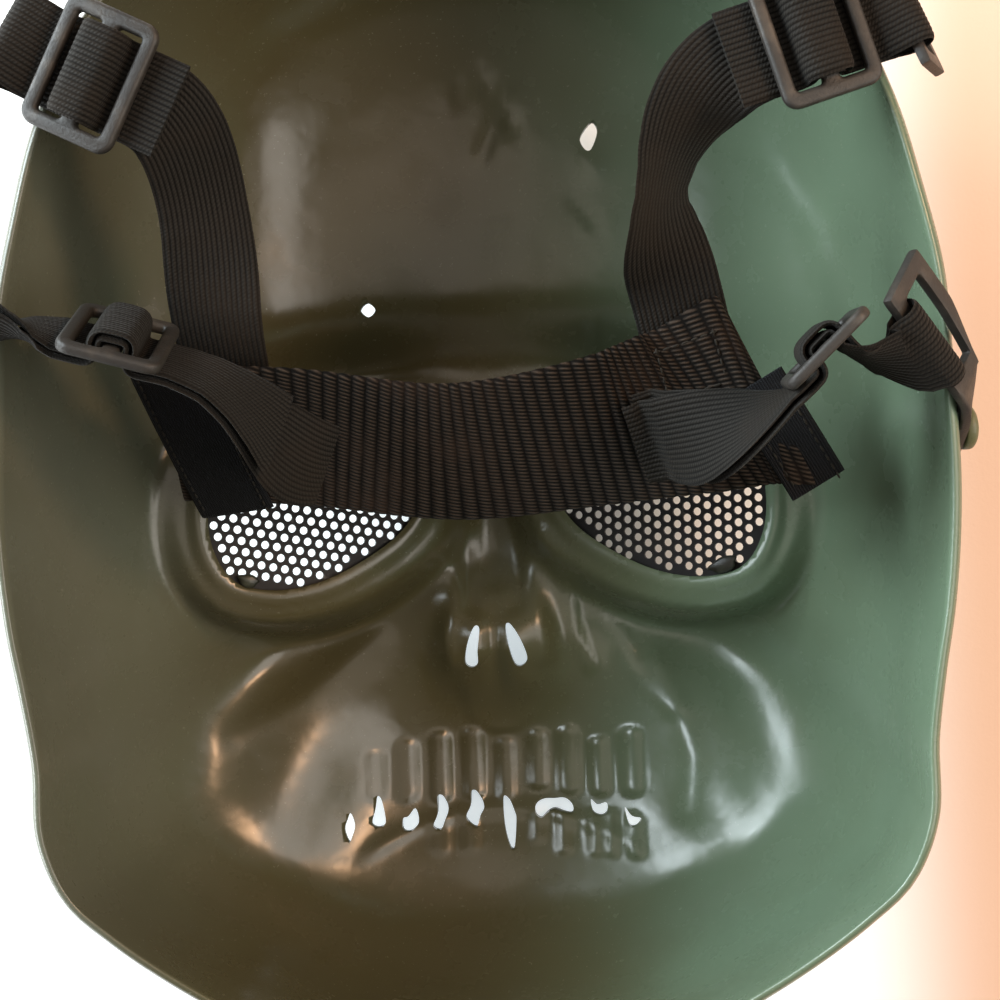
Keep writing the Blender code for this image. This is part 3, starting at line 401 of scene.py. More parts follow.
def outline_distance(x, y, outline):
    """Distance to a closed outline in the plan, negative inside it."""
    best = line_distance(x, y, np.vstack((outline, outline[:1])))
    inside = np.zeros(x.shape, dtype=bool)
    for (ax, ay), (bx, by) in zip(outline, np.roll(outline, -1, axis=0)):
        crosses = (ay > y) != (by > y)
        with np.errstate(divide="ignore", invalid="ignore"):
            inside ^= crosses & (x < (bx - ax) * (y - ay) / (by - ay) + ax)
    return np.where(inside, -best, best)


def broad_relief(x, y):
    """Outward swell of the bones, in metres."""
    total = np.zeros(x.shape)
    for _, swell, cx, cy, sx, sy, turn in RELIEF:
        c, s = math.cos(math.radians(turn)), math.sin(math.radians(turn))
        for side in ((1.0,) if cx == 0.0 else (1.0, -1.0)):
            dx, dy = side * x - cx * HALF_WIDTH, y - cy * HALF_LENGTH
            along = (c * dx + s * dy) / (sx * HALF_WIDTH)
            across = (-s * dx + c * dy) / (sy * HALF_LENGTH)
            total += swell * MM * hill(np.hypot(along, across), 1.0)
    return total


# %% [markdown]
# ## Teeth, nose and old creases
#
# Seen from behind, the roots of the teeth are long rounded pads with steep sides, and the lower
# teeth are short boxes. Steep sides matter: they catch a thin bright line each, and those lines
# are what makes glossy plastic read as moulded. Each pad is a capsule, that is, everything
# closer than a radius to a short line. Creases are thin lines with a soft V section.

# %% Fine relief
PADS = (
    # name, x, y top, y bottom in mm, half width, height inwards
    ("root_1", -32.0, -74.5, -82.5, 2.4, 0.5),
    ("root_2", -24.0, -73.0, -83.5, 2.6, 0.8),
    ("root_3", -15.5, -71.0, -84.5, 2.6, 1.3),
    ("root_4", -7.0, -70.5, -84.0, 2.7, 1.3),
    ("root_5", 1.3, -73.0, -84.5, 2.3, 1.1),
    ("root_6", 9.7, -71.0, -82.0, 2.3, 1.2),
    ("root_7", 17.5, -70.5, -83.0, 2.6, 1.2),
    ("root_8", 25.3, -73.0, -83.5, 2.3, 1.3),
    ("root_9", 33.4, -70.5, -83.0, 2.5, 1.2),
    ("lower_1", -15.5, -91.5, -97.0, 2.4, 0.5),
    ("lower_2", -8.2, -91.5, -97.0, 2.4, 0.6),
    ("lower_3", 9.2, -91.0, -95.5, 1.6, 0.7),
    ("lower_4", 15.8, -90.5, -98.0, 1.9, 1.0),
    ("lower_5", 23.6, -90.5, -98.5, 1.7, 1.1),
    ("lower_6", 27.6, -90.5, -98.5, 1.7, 1.1),
    ("lower_7", 33.4, -91.0, -98.5, 2.0, 1.0),
    ("nose_plate", 0.6, -54.0, -60.0, 9.5, 0.7),
)

CREASES = (
    # points in mm, half width, depth inwards; a negative depth is a groove seen from inside
    (((-3.7, 93.0), (1.5, 96.0), (5.5, 91.0), (9.5, 84.0)), 1.2, 0.9),
    (((7.8, 90.5), (4.0, 84.0), (1.1, 78.0)), 1.5, -1.0),
    (((23.5, 66.3), (28.8, 60.3)), 1.1, 0.6),
    (((27.5, 36.0), (28.5, 31.0)), 0.9, 0.7),
    (((27.5, 75.5), (29.5, 73.5)), 2.2, -0.9),
    (((-10.6, -37.0), (-12.0, -43.0), (-10.8, -50.0)), 1.0, 0.9),
    (((11.0, -36.0), (13.0, -43.0), (12.2, -50.0)), 1.0, 0.9),
    (((-31.0, -44.0), (-48.0, -57.0), (-66.0, -66.0)), 2.6, 0.8),
    (((12.5, -18.0), (19.0, -32.0), (20.5, -44.0), (24.0, -52.0)), 1.5, 1.1),
    (((-8.5, -14.0), (-7.0, -24.0), (-5.5, -34.0)), 1.9, -1.9),
    (((6.0, -14.0), (6.0, -24.0), (6.0, -34.0)), 1.9, -1.9),
    (((-5.5, -36.5), (0.0, -37.5), (6.0, -36.5)), 1.5, -1.2),
    (((-6.5, -40.0), (-8.0, -46.0), (-6.0, -52.0)), 2.4, -1.3),
    (((5.0, -40.0), (8.0, -46.0), (8.5, -51.0)), 2.4, -1.3),
    (((26.0, -39.0), (32.0, -44.0), (35.0, -53.0), (44.0, -63.0)), 1.8, 0.9),
    (((41.0, -52.0), (46.0, -62.0), (49.0, -75.0), (47.0, -88.0)), 1.9, 0.9),
    (((68.0, 71.0), (78.0, 52.0), (84.0, 32.0)), 2.0, 0.8),
    (((78.0, 73.0), (84.0, 50.0), (88.0, 24.0)), 1.8, -0.7),
)


# The bite is the line between the upper and the lower teeth.
BITE_LINE, BITE_BOW, BITE_SPREAD, BITE_HEIGHT = -0.0885, 8.0, 0.0014, 0.0009
BITE_REACH, BITE_FADE = 0.038, 0.008
PAD_SHOULDER, PAD_SLOPE = 0.0011, 0.0019
# Round each eye: height, distance from the opening and spread.
EYE_LIP = (0.0013, 0.0018, 0.0015)
EYE_GROOVE = (-0.0010, 0.0062, 0.0021)
EYE_FLAT, EYE_BLEND = 0.0060, 0.0085


def fine_relief(x, y):
    """Rise towards the wearer, in metres."""
    total = np.zeros(x.shape)
    for _, cx, top, bottom, half, height in PADS:
        away = line_distance(x, y, np.array(((cx, top), (cx, bottom))) * MM)
        edge = half * MM - PAD_SHOULDER
        total += height * MM * (1.0 - smooth_step((away - edge) / PAD_SLOPE))
    for points, half, depth in CREASES:
        total += depth * MM * hill(line_distance(x, y, np.array(points) * MM), half * MM)
    bite = hill(y - BITE_LINE + BITE_BOW * x * x, BITE_SPREAD)
    return total + BITE_HEIGHT * bite * smooth_step((BITE_REACH - np.abs(x)) / BITE_FADE)


def relieved(points, fine=True):
    """Skull surface from points of the plain bowl."""
    x, y, z = points.T.copy()
    z = z - broad_relief(x, y)
    away = outline_distance(np.abs(x), y, eye_outline(3))
    plane = EYE_PLANE_HEIGHT + EYE_PLANE_SLOPE * (np.abs(x) - EYE_CENTRE.x)
    hold = 1.0 - smooth_step((away - EYE_FLAT) / EYE_BLEND)
    z = z + (plane - z) * hold
    if fine:
        z = z + fine_relief(x, y)
        for height, distance, spread in (EYE_LIP, EYE_GROOVE):
            z = z + height * hill(away - distance, spread)
    return np.column_stack((x, y, z))


# %% [markdown]
# ## The wall as a mesh
#
# The wall is made from a square grid that is bent onto a disc, so there is no pole where lines
# would crowd together. Lines are closer where the eyes, nose and teeth are. The same grid is used
# for the inner and the outer face, one wall apart along the normal, and three more loops round
# the edge over. Four flats on the outside are what the mask lies on.

# %% Shell wall
SEATS = ((0.371, 0.185), (-0.371, 0.185), (0.130, -0.580), (-0.130, -0.580))
SEAT_RADIUS, SEAT_BLEND = 0.008, 0.009
RIM_SWELL = 0.0009
# Grid lines as (end, count) from -1 to 1.
GRID_ACROSS = ((-0.62, 15), (0.62, 156), (1.0, 15))
GRID_ALONG = ((-0.72, 22), (-0.34, 86), (0.14, 62), (0.50, 30), (1.0, 24))


def wall_normal(radius, angle, surface, step):
    """Outward normal of a surface of the wall, found from points close by."""
    shrink = 1.0 - 2.0 * step
    u, v = radius * np.cos(angle) * shrink, radius * np.sin(angle) * shrink

    def point(du, dv):
        return surface(bowl(np.hypot(u + du, v + dv), np.arctan2(v + dv, u + du)))

    normal = np.cross(point(step, 0) - point(-step, 0), point(0, step) - point(0, -step))
    return -normal / np.linalg.norm(normal, axis=1)[:, None]


def seated(points):
    """Flats on the outer face where the mask touches the table."""
    x, y, z = points.T.copy()
    for seat_x, seat_y in SEATS:
        away = np.hypot(x - seat_x * HALF_WIDTH, y - seat_y * HALF_LENGTH)
        z = z * smooth_step((away - SEAT_RADIUS) / SEAT_BLEND)
    return np.column_stack((x, y, z))


def grid_lines(stops):
    lines = [-1.0]
    for end, count in stops:
        lines += list(np.linspace(lines[-1], end, count + 1)[1:])
    return np.array(lines)


def attribute(mesh, name, values):
    """Three numbers on every vertex, for materials and node trees to read."""
    made = mesh.attributes.new(name, "FLOAT_VECTOR", "POINT")
    made.data.foreach_set("vector", np.asarray(values, dtype=np.float32).ravel())


def linked(name, data):
    """A new object in the scene."""
    data.name = name
    made = bpy.data.objects.new(name, data)
    bpy.context.collection.objects.link(made)
    return made


def new_piece(name, vertices, faces, finish, shift=SHELL_MIDDLE):
    mesh = bpy.data.meshes.new(name)
    mesh.from_pydata([tuple(Vector(v) + shift) for v in vertices], [], faces)
    if finish:
        mesh.materials.append(finish)
    return linked(name, mesh)


def plain_mesh(piece):
    """What the piece looks like with its modifiers, as a mesh of its own."""
    evaluated = piece.evaluated_get(bpy.context.evaluated_depsgraph_get())
    return bpy.data.meshes.new_from_object(evaluated)


def cleaned(mesh, merge=0.0):
    """Loose vertices go, close ones become one and every face turns outward."""
    work = bmesh.new()
    work.from_mesh(mesh)
    bmesh.ops.delete(work, geom=[v for v in work.verts if not v.link_faces], context="VERTS")
    if merge:
        bmesh.ops.remove_doubles(work, verts=work.verts, dist=merge)
    bmesh.ops.recalc_face_normals(work, faces=work.faces)
    work.to_mesh(mesh)
    work.free()


def drawn_curve(name, loops, dimensions):
    """Curve object of closed loops in its own plane."""
    curve = bpy.data.curves.new(name, "CURVE")
    curve.dimensions = dimensions
    for loop in loops:
        spline = curve.splines.new("POLY")
        spline.points.add(len(loop) - 1)
        for point, (x, y) in zip(spline.points, loop):
            point.co = (x, y, 0.0, 1.0)
        spline.use_cyclic_u = True
    return linked(name + "_outline", curve)


def curve_piece(name, holder, seat):
    """The curve's solid, moved to its seat; the curve goes."""
    mesh = plain_mesh(holder)
    bpy.data.objects.remove(holder)
    mesh.transform(Matrix.Translation(SHELL_MIDDLE) @ seat)
    return linked(name, mesh)


def shell_wall():
    a_lines, b_lines = grid_lines(GRID_ACROSS), grid_lines(GRID_ALONG)
    a, b = (g.ravel() for g in np.meshgrid(a_lines, b_lines))
    u, v = a * np.sqrt(1 - b * b / 2), b * np.sqrt(1 - a * a / 2)
    radius, angle = np.minimum(np.hypot(u, v), 1.0), np.arctan2(v, u)
    base = bowl(radius, angle)
    normal = wall_normal(radius, angle, lambda points: relieved(points, False), 0.012)
    inner = relieved(base)
    outer = seated(relieved(base) + normal * WALL)
    lift = outer[:, 2] + WALL * 0.85
    inner[:, 2] = np.maximum(inner[:, 2], np.minimum(lift, inner[:, 2] + WALL))
    columns, rows = len(a_lines), len(b_lines)
    count = columns * rows
    cells = (np.arange(rows - 1)[:, None] * columns + np.arange(columns - 1)).ravel()
    first = np.column_stack((cells, cells + 1, cells + 1 + columns, cells + columns))
    second = np.column_stack((cells, cells + columns, cells + 1 + columns, cells + 1)) + count
    faces = first.tolist() + second.tolist()
    ring = (list(range(columns)) + [j * columns + columns - 1 for j in range(1, rows)]
            + [(rows - 1) * columns + i for i in range(columns - 2, -1, -1)]
            + [j * columns for j in range(rows - 2, 0, -1)])
    rolls = [np.array(ring)]
    extra = []
    for k, part in enumerate((0.2, 0.5, 0.8)):
        points = inner[ring] * (1 - part) + outer[ring] * part
        points[:, 2] += RIM_SWELL * math.sin(math.pi * part)
        extra.append(points)
        rolls.append(2 * count + k * len(ring) + np.arange(len(ring)))
    rolls.append(np.array(ring) + count)
    for near, far in zip(rolls, rolls[1:]):
        faces += np.column_stack((near, far, np.roll(far, -1), np.roll(near, -1))).tolist()
    vertices = np.vstack((inner, outer, *extra))
    trim = np.zeros((len(vertices), 3))
    trim[count:2 * count, 0] = smooth_step((radius - 0.975) / 0.02)
    trim[2 * count + len(ring):, 0] = 1.0
    trim[:count, 1] = smooth_step((radius - 0.955) / 0.03)
    piece = new_piece("shell_body", vertices, faces, OLIVE)
    attribute(piece.data, "trim", trim)
    return piece


shell = shell_wall()
print("shell before its holes:", len(shell.data.polygons), "faces")

# %% [markdown]
# ## Holes through the wall
#
# The eye openings, the nostrils and the odd-shaped gaps between the teeth go right through. Each
# gap is a smooth closed curve through a few points, so it keeps the irregular look of a gap
# that the moulder cut by hand. All the cutting tools are one mesh, and one exact Boolean does
# the work. The shading is smooth, and only edges over 74 degrees stay sharp.

# %% Holes
GAPS = (
    # name, x, y as shares, outline in mm
    ("nostril_right", 0.056, -0.352, ((-2.5, 5.0), (-1.3, 5.5), (1.0, 2.1), (2.7, -2.9),
                                      (1.7, -5.1), (-0.4, -4.8), (-2.0, 0.8))),
    ("nostril_left", -0.058, -0.354, ((0.6, 5.3), (2.0, 4.8), (1.4, -0.5), (1.2, -4.0),
                                      (-0.4, -5.1), (-2.0, -3.7), (-1.2, 1.1))),
    ("gap_1", -0.397, -0.700, ((0.2, 3.6), (1.3, 0.6), (0.6, -2.2), (-0.2, -3.5), (-1.3, -0.6),
                               (-0.8, 1.6))),
    ("gap_2", -0.325, -0.677, ((-0.4, 3.8), (0.6, 3.4), (1.7, -1.2), (1.5, -3.2), (-0.2, -3.7),
                               (-1.7, -2.6), (-1.0, 0.4))),
    ("gap_3", -0.242, -0.696, ((-2.0, 0.4), (-0.6, 0.9), (1.2, 2.7), (2.1, -0.6), (0.2, -2.6),
                               (-1.8, -2.2))),
    ("gap_4", -0.163, -0.685, ((-0.8, 4.0), (0.8, 4.0), (2.0, 0.8), (1.1, -1.9), (0.0, -4.2),
                               (-1.9, -3.2), (-0.8, -0.3))),
    ("gap_5", -0.072, -0.681, ((-0.8, 4.4), (0.8, 4.1), (2.4, 0.5), (1.3, -1.9), (0.3, -4.5),
                               (-2.3, -2.1), (-1.1, 0.8))),
    ("gap_6", 0.021, -0.708, ((-1.6, 6.1), (-0.1, 5.6), (1.3, 2.4), (1.6, 0.3), (1.0, -6.1),
                              (-0.1, -5.8), (-1.4, -0.8))),
    ("gap_7", 0.139, -0.681, ((-4.6, 0.7), (-2.6, 1.9), (0.2, 2.0), (2.8, 2.1), (4.7, 0.6),
                              (4.8, -1.4), (2.8, -1.3), (0.2, -0.7), (-1.7, -1.4), (-3.3, -2.6),
                              (-4.8, -1.5))),
    ("gap_8", 0.258, -0.681, ((-2.0, 1.8), (-0.4, 0.6), (1.9, 1.1), (2.1, -1.0), (0.6, -2.0),
                              (-1.5, -1.1))),
    ("gap_9", 0.345, -0.696, ((-1.9, 2.1), (-0.3, 0.3), (2.1, -0.3), (0.8, -2.1), (-1.0, -1.9))),
    ("forehead_left", -0.304, 0.312, ((0.0, 1.8), (1.9, 0.0), (0.0, -1.7), (-1.9, 0.1))),
    ("forehead_right", 0.289, 0.623, ((0.9, 3.3), (2.2, 0.9), (0.6, -3.1), (-1.1, -2.9),
                                      (-2.1, -0.2))),
)


def prisms(outlines, low, high):
    """Upright prisms over closed outlines that turn left."""
    vertices, faces = [], []
    for outline in outlines:
        start, count = len(vertices), len(outline)
        vertices += [(x, y, low) for x, y in outline] + [(x, y, high) for x, y in outline]
        faces.append(tuple(range(start + count - 1, start - 1, -1)))
        faces.append(tuple(range(start + count, start + 2 * count)))
        faces += [(start + i, start + (i + 1) % count, start + count + (i + 1) % count,
                   start + count + i) for i in range(count)]
    return vertices, faces


def turned_left(outline):
    x, y = np.asarray(outline).T
    area = (x * np.roll(y, -1) - np.roll(x, -1) * y).sum()
    return [tuple(p) for p in (outline if area > 0 else outline[::-1])]


def cut_holes(piece):
    outlines = [turned_left(eye_outline()), turned_left(eye_outline() * (-1, 1))]
    for _, x, y, shape in GAPS:
        centre = np.array((x * HALF_WIDTH, y * HALF_LENGTH))
        outlines.append(turned_left(closed_curve(shape, 4) * MM + centre))
    tool = new_piece("hole_tool", *prisms(outlines, -0.02, 0.12), None)
    change = piece.modifiers.new("holes", "BOOLEAN")
    change.operation = "DIFFERENCE"
    change.solver = "EXACT"
    change.object = tool
    applied(piece)
    bpy.data.objects.remove(tool)


def applied(piece, sharp=74.0):
    """The piece's modifiers become plain mesh, shaded smooth except at sharp edges."""
    mesh = plain_mesh(piece)
    mesh.name = piece.name
    piece.modifiers.clear()
    old, piece.data = piece.data, mesh
    bpy.data.meshes.remove(old)
    mesh.shade_smooth()
    mesh.set_sharp_from_angle(angle=math.radians(sharp))
    return piece


def rides(piece, slot, *nodes):
    """The piece belongs to the mask and stands for its solids, which are hidden."""
    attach(piece, "root")
    if nodes:
        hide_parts(*nodes)
    return piece


cut_holes(shell)
rides(shell, "olive_plastic", "shell")
print("shell:", sum(len(p.vertices) - 2 for p in shell.data.polygons), "triangles")

# %% [markdown]
# ## Perforated steel in the eyes
#
# The sheet is punched with 2 mm holes in a staggered pattern, about 3 mm apart. Geometry Nodes
# make it: a lattice of points is laid over the eye, points too close to the edge are dropped,
# and a circle is put on each of the rest. Filling the eye's outline and the circles together
# leaves the circles open, and an extrusion gives the sheet its thickness. The pattern is one
# rule with a few sizes, so the pitch can be changed without drawing a single hole.

# %% Perforated sheet tree
class Tree:
    """A Geometry Nodes tree with named inputs."""

    def __init__(self, name, **inputs):
        self.tree = bpy.data.node_groups.new(name, "GeometryNodeTree")
        self.tree.is_modifier = True
        face = self.tree.interface
        face.new_socket("Geometry", in_out="INPUT", socket_type="NodeSocketGeometry")
        self.sockets = {}
        for key, kind in inputs.items():
            made = face.new_socket(key, in_out="INPUT", socket_type="NodeSocket" + kind)
            self.sockets[key] = made.identifier
        face.new_socket("Geometry", in_out="OUTPUT", socket_type="NodeSocketGeometry")
        self.start = self.tree.nodes.new("NodeGroupInput")
        self.end = self.tree.nodes.new("NodeGroupOutput")

    def given(self, key):
        return self.start.outputs[key]

    def node(self, kind, settings=None, inputs=None, output=0):
        made = self.tree.nodes.new(kind)
        for name, value in (settings or {}).items():
            setattr(made, name, value)
        for key, value in (inputs or {}).items():
            for one in (value if isinstance(value, list) else [value]):
                if isinstance(one, bpy.types.NodeSocket):
                    self.tree.links.new(one, made.inputs[key])
                else:
                    made.inputs[key].default_value = one
        return made.outputs[output]

    def math(self, operation, *values):
        return self.node("ShaderNodeMath", {"operation": operation}, dict(enumerate(values)))

    def finish(self, geometry, material):
        """Instances become real and the material goes on."""
        real = self.node("GeometryNodeRealizeInstances", None, {"Geometry": geometry})
        done = self.node("GeometryNodeSetMaterial", None, {"Geometry": real, "Material": material})
        self.tree.links.new(done, self.end.inputs[0])

    def run(self, piece, **values):
        """Puts the tree on a piece and gives it its sizes."""
        change = piece.modifiers.new(self.tree.name, "NODES")
        change.node_group = self.tree
        for key, value in values.items():
            change[self.sockets[key]] = value
        return piece


def perforated_tree():
    tree = Tree("perforated_sheet", Hole="Float", Pitch="Float", Edge="Float",
                Thickness="Float", Turn="Float", Finish="Material")
    rows = tree.math("MULTIPLY", tree.given("Pitch"), math.sqrt(3) / 2)
    grid = tree.node("GeometryNodeMeshGrid", None,
                     {"Size X": 30.0, "Size Y": 30.0, "Vertices X": 31, "Vertices Y": 31})
    position = tree.node("GeometryNodeInputPosition")
    column, row, _ = tree.node("ShaderNodeSeparateXYZ", None, {0: position}).node.outputs
    odd = tree.math("MULTIPLY", tree.math("MODULO", tree.math("ADD", row, 30.0), 2.0), 0.5)
    x = tree.math("MULTIPLY", tree.math("ADD", column, odd), tree.given("Pitch"))
    y = tree.math("MULTIPLY", row, rows)
    placed = tree.node("ShaderNodeCombineXYZ", None, {0: x, 1: y})
    turned = tree.node("ShaderNodeVectorRotate", {"rotation_type": "Z_AXIS"},
                       {"Vector": placed, "Angle": tree.given("Turn")})
    lattice = tree.node("GeometryNodeSetPosition", None, {"Geometry": grid, "Position": turned})
    sheet = tree.node("GeometryNodeFillCurve", None, {0: tree.given("Geometry")})
    border = tree.node("GeometryNodeCurveToMesh", None, {"Curve": tree.given("Geometry")})
    edge = tree.node("GeometryNodeProximity", {"target_element": "EDGES"}, {0: border}, 1)
    above = tree.node("ShaderNodeVectorMath", {"operation": "ADD"},
                      {0: position, 1: (0.0, 0.0, 0.01)})
    hit = tree.node("GeometryNodeRaycast", None,
                    {"Target Geometry": sheet, "Source Position": above,
                     "Ray Direction": (0.0, 0.0, -1.0)})
    room = tree.node("FunctionNodeCompare", {"operation": "GREATER_THAN"},
                     {0: edge, 1: tree.given("Edge")})
    keep = tree.node("FunctionNodeBooleanMath", {"operation": "AND"}, {0: hit, 1: room})
    points = tree.node("GeometryNodeMeshToPoints", None, {"Mesh": lattice, "Selection": keep})
    circle = tree.node("GeometryNodeCurvePrimitiveCircle", None,
                       {"Resolution": 12,
                        "Radius": tree.math("MULTIPLY", tree.given("Hole"), 0.5)})
    circles = tree.node("GeometryNodeInstanceOnPoints", None,
                        {"Points": points, "Instance": circle})
    circles = tree.node("GeometryNodeRealizeInstances", None, {"Geometry": circles})
    outlines = tree.node("GeometryNodeJoinGeometry", None,
                         {0: [circles, tree.given("Geometry")]})
    flat = tree.node("GeometryNodeFillCurve", None, {0: outlines})
    thick = tree.node("GeometryNodeExtrudeMesh", None,
                      {"Mesh": flat, "Offset": (0.0, 0.0, 1.0), "Individual": False,
                       "Offset Scale": tree.given("Thickness")})
    under = tree.node("GeometryNodeFlipFaces", None, {"Mesh": flat})
    both = tree.node("GeometryNodeJoinGeometry", None, {0: [thick, under]})
    merged = tree.node("GeometryNodeMergeByDistance", None,
                       {"Geometry": both, "Distance": 0.00001})
    tree.finish(merged, tree.given("Finish"))
    return tree


PERFORATED = perforated_tree()
print("tree:", PERFORATED.tree.name, list(PERFORATED.sockets))

# %% [markdown]
# ## Blackened steel and the two eye sheets
#
# The sheet is painted black after punching, and the paint has worn to dull metal in places. The
# sheet lies in the plane of the eye opening, just under its edge, with a plain border of a
# millimetre. The steel's finish reads Object coordinates, because a punched sheet has no
# direction of its own.

# %% Eye sheets
def black_steel():
    finish = Finish("black_steel", Metallic=0.7)
    place = finish.place()
    grain = finish.noise(place, 0.0009, 3.0)
    worn = finish.noise(place, 0.004, 3.0, 0.7).above(0.62, 0.75)
    finish.use("Base Color", finish.mix(worn * 0.5, (0.013, 0.012, 0.012), (0.10, 0.09, 0.08)))
    finish.use("Roughness", 0.38 + grain * 0.22 - worn * 0.1)
    return finish.relief(grain, 0.0001, 0.4).material


BLACK_STEEL = black_steel()
# The sheet reaches this far under the edge of its opening.
SHEET_OVERLAP = 0.0004
SHEET_SIZES = {"Hole": 0.0020, "Pitch": 0.0029, "Edge": 0.0012, "Thickness": 0.0009}


def frame_from(origin, along, across):
    """Matrix with X along, Y across made square to it, and Z from both."""
    x = Vector(along).normalized()
    y = Vector(across)
    y = (y - x * y.dot(x)).normalized()
    made = Matrix((x, y, x.cross(y))).transposed().to_4x4()
    made.translation = Vector(origin)
    return made


def eye_sheet(name, side, turn):
    lean = math.atan(EYE_PLANE_SLOPE)
    half = ((EYE_HALF[0] + SHEET_OVERLAP) / math.cos(lean) * side, EYE_HALF[1] + SHEET_OVERLAP)
    outline = turned_left(closed_curve(EYE_OUTLINE, 6) * half)
    holder = drawn_curve(name, [outline], "3D")
    PERFORATED.run(holder, **SHEET_SIZES, Turn=turn, Finish=BLACK_STEEL)
    height = EYE_PLANE_HEIGHT - WALL * 0.75 / math.cos(lean)
    seat = frame_from((side * EYE_CENTRE.x, EYE_CENTRE.y, height),
                      (math.cos(lean), 0.0, side * math.sin(lean)), (0.0, 1.0, 0.0))
    return curve_piece(name, holder, seat)


for side, name, turn in ((1, "right", math.radians(90)), (-1, "left", math.radians(-12))):
    sheet = rides(eye_sheet("eye_sheet_" + name, side, turn), "black_steel", "eye_mesh_" + name)
    print(sheet.name, len(sheet.data.polygons), "faces")

# %% [markdown]
# ## How a strap finds its way
#
# Webbing bends easily one way and not at all the other. So each strap is drawn as a row of small
# frames: X runs along the webbing, Y lies across it and Z points out of its face. A cubic joins
# two frames, and the twist between them is spread softly over the length. Where the webbing goes
# over a bar, the corner is an arc. These are the steps that the solids were made with, so the
# woven straps keep to the same paths.

# %% Band and strap frames
BAND_WIDTH, BAND_THICKNESS = 0.040, 0.0018
STRAP_WIDTH, STRAP_THICKNESS = 0.020, 0.0014
SLIDER = {"length": 0.021, "breadth": 0.028, "thickness": 0.0024, "bar": 0.0036, "frame": 0.0030}
BUCKLE = {"length": 0.028, "breadth": 0.0145, "thickness": 0.0022, "frame": 0.0035}
TONGUE_WIDTH, TONGUE_END = 0.009, 0.005
LAYER_GAP = 0.0003
SPAN_STEP = 0.0065
SUBSTEPS = 8
BAND_CLEARANCE = 0.0016
RIVET_DEPTH = 0.009
# The free ends: how much of the way back the lower left tail goes, and where along the band the
# lower right tail ends and how far it floats above the first layer.
LEFT_TAIL, RIGHT_TAIL_END, TAIL_RISE = 0.6, 0.722, 0.0045

BAND = np.array((
    # x share, y share, z share, tilt in degrees
    (-0.711, 0.0615, 0.680, 42.0),
    (-0.443, 0.0500, 0.691, 41.0),
    (-0.026, 0.0123, 0.691, 41.0),
    (0.273, 0.0370, 0.722, 36.0),
    (0.505, 0.0690, 0.753, 22.0),
    (0.680, 0.0920, 0.773, 5.0),
    (0.763, 0.0885, 0.753, -6.0),
))

SLIDER_SEATS = {
    # name: (centre, run, face)
    "upper_right": ((0.737, 0.629, 1.085), (0.95, 0.30, -0.10), (0.10, 0.0, 1.0)),
    "upper_left": ((-0.755, 0.611, 1.085), (-0.89, 0.46, -0.10), (-0.10, 0.0, 1.0)),
    "lower_right": ((0.736, 0.144, 1.075), (0.71, 0.68, 0.10), (-0.69, 0.72, 0.0)),
    "lower_left": ((-0.716, 0.203, 1.075), (-0.95, 0.27, 0.16), (0.27, 0.89, 0.37)),
}

BUCKLE_SEATS = {
    # name: (bar's middle, run, across, rivet angle in degrees)
    "upper_right": ((0.918, 0.672, 1.044), (-0.36, 0.92, -0.12), (0.38, 0.10, -0.92), 58.5),
    "upper_left": ((-0.924, 0.680, 1.044), (0.48, 0.86, -0.12), (-0.38, 0.10, -0.92), 121.5),
    "lower_right": ((0.935, 0.142, 1.112), (0.58, -0.66, -0.48), (0.475, 0.75, -0.46), 1.5),
    "lower_left": ((-1.085, 0.215, 1.185), (0.08, -0.76, -0.65), (-0.65, 0.55, -0.45), 176.0),
}

BAND_SEATS = {
    # name: (start along, start across, exit along, exit across, face, knot, its face)
    "upper_right": (0.829, 0.05, 0.829, 0.60, -1, (0.428, 0.415, 0.918), (0.80, 0.05, 0.60)),
    "upper_left": (0.096, 0.05, 0.096, 0.60, -1, (-0.567, 0.423, 0.907), (0.45, 0.0, 0.89)),
    "lower_right": (0.735, -0.02, 0.765, -0.02, 1, None, None),
    "lower_left": (0.350, -0.02, 0.290, -0.02, 1, None, None),
}


def band_frame(share):
    """Frame of the band at a share of its length."""
    rows = np.array([(*place(x, y, z), tilt) for x, y, z, tilt in BAND])
    knots = np.append(0.0, np.cumsum(np.linalg.norm(np.diff(rows[:, :3], axis=0), axis=1)))
    here = share * knots[-1]
    x, y, z, tilt = (cubic_table(np.array([here - 0.0004, here, here + 0.0004]), knots,
                                 rows[:, k]) for k in range(4))
    lean = math.radians(tilt[1])
    return frame_from((x[1], y[1], z[1]), (x[2] - x[0], y[2] - y[0], z[2] - z[0]),
                      (0.0, math.cos(lean), math.sin(lean)))


def span_frames(start, end):
    """Frames from one frame to another, with the twist spread along the way."""
    p0, p1 = start.translation, end.translation
    reach = (p1 - p0).length
    run0, run1 = start.col[0].xyz * reach, end.col[0].xyz * reach
    steps = (max(1, round(reach / SPAN_STEP)) + 1) * SUBSTEPS
    across, old_run, stations = start.col[1].xyz, start.col[0].xyz, []
    for k in range(steps + 1):
        t = k / steps
        point = cubic(t, p0, run0, p1, run1)
        run = cubic_run(t, p0, run0, p1, run1).normalized()
        across = old_run.rotation_difference(run) @ across
        old_run = run
        if k % SUBSTEPS == 0:
            stations.append((t, point, run, across.copy()))
    twist = math.atan2(across.cross(end.col[1].xyz).dot(old_run), across.dot(end.col[1].xyz))
    return [frame_from(point, run, Matrix.Rotation(twist * float(smooth_step(t)), 3, run) @ side)
            for t, point, run, side in stations]


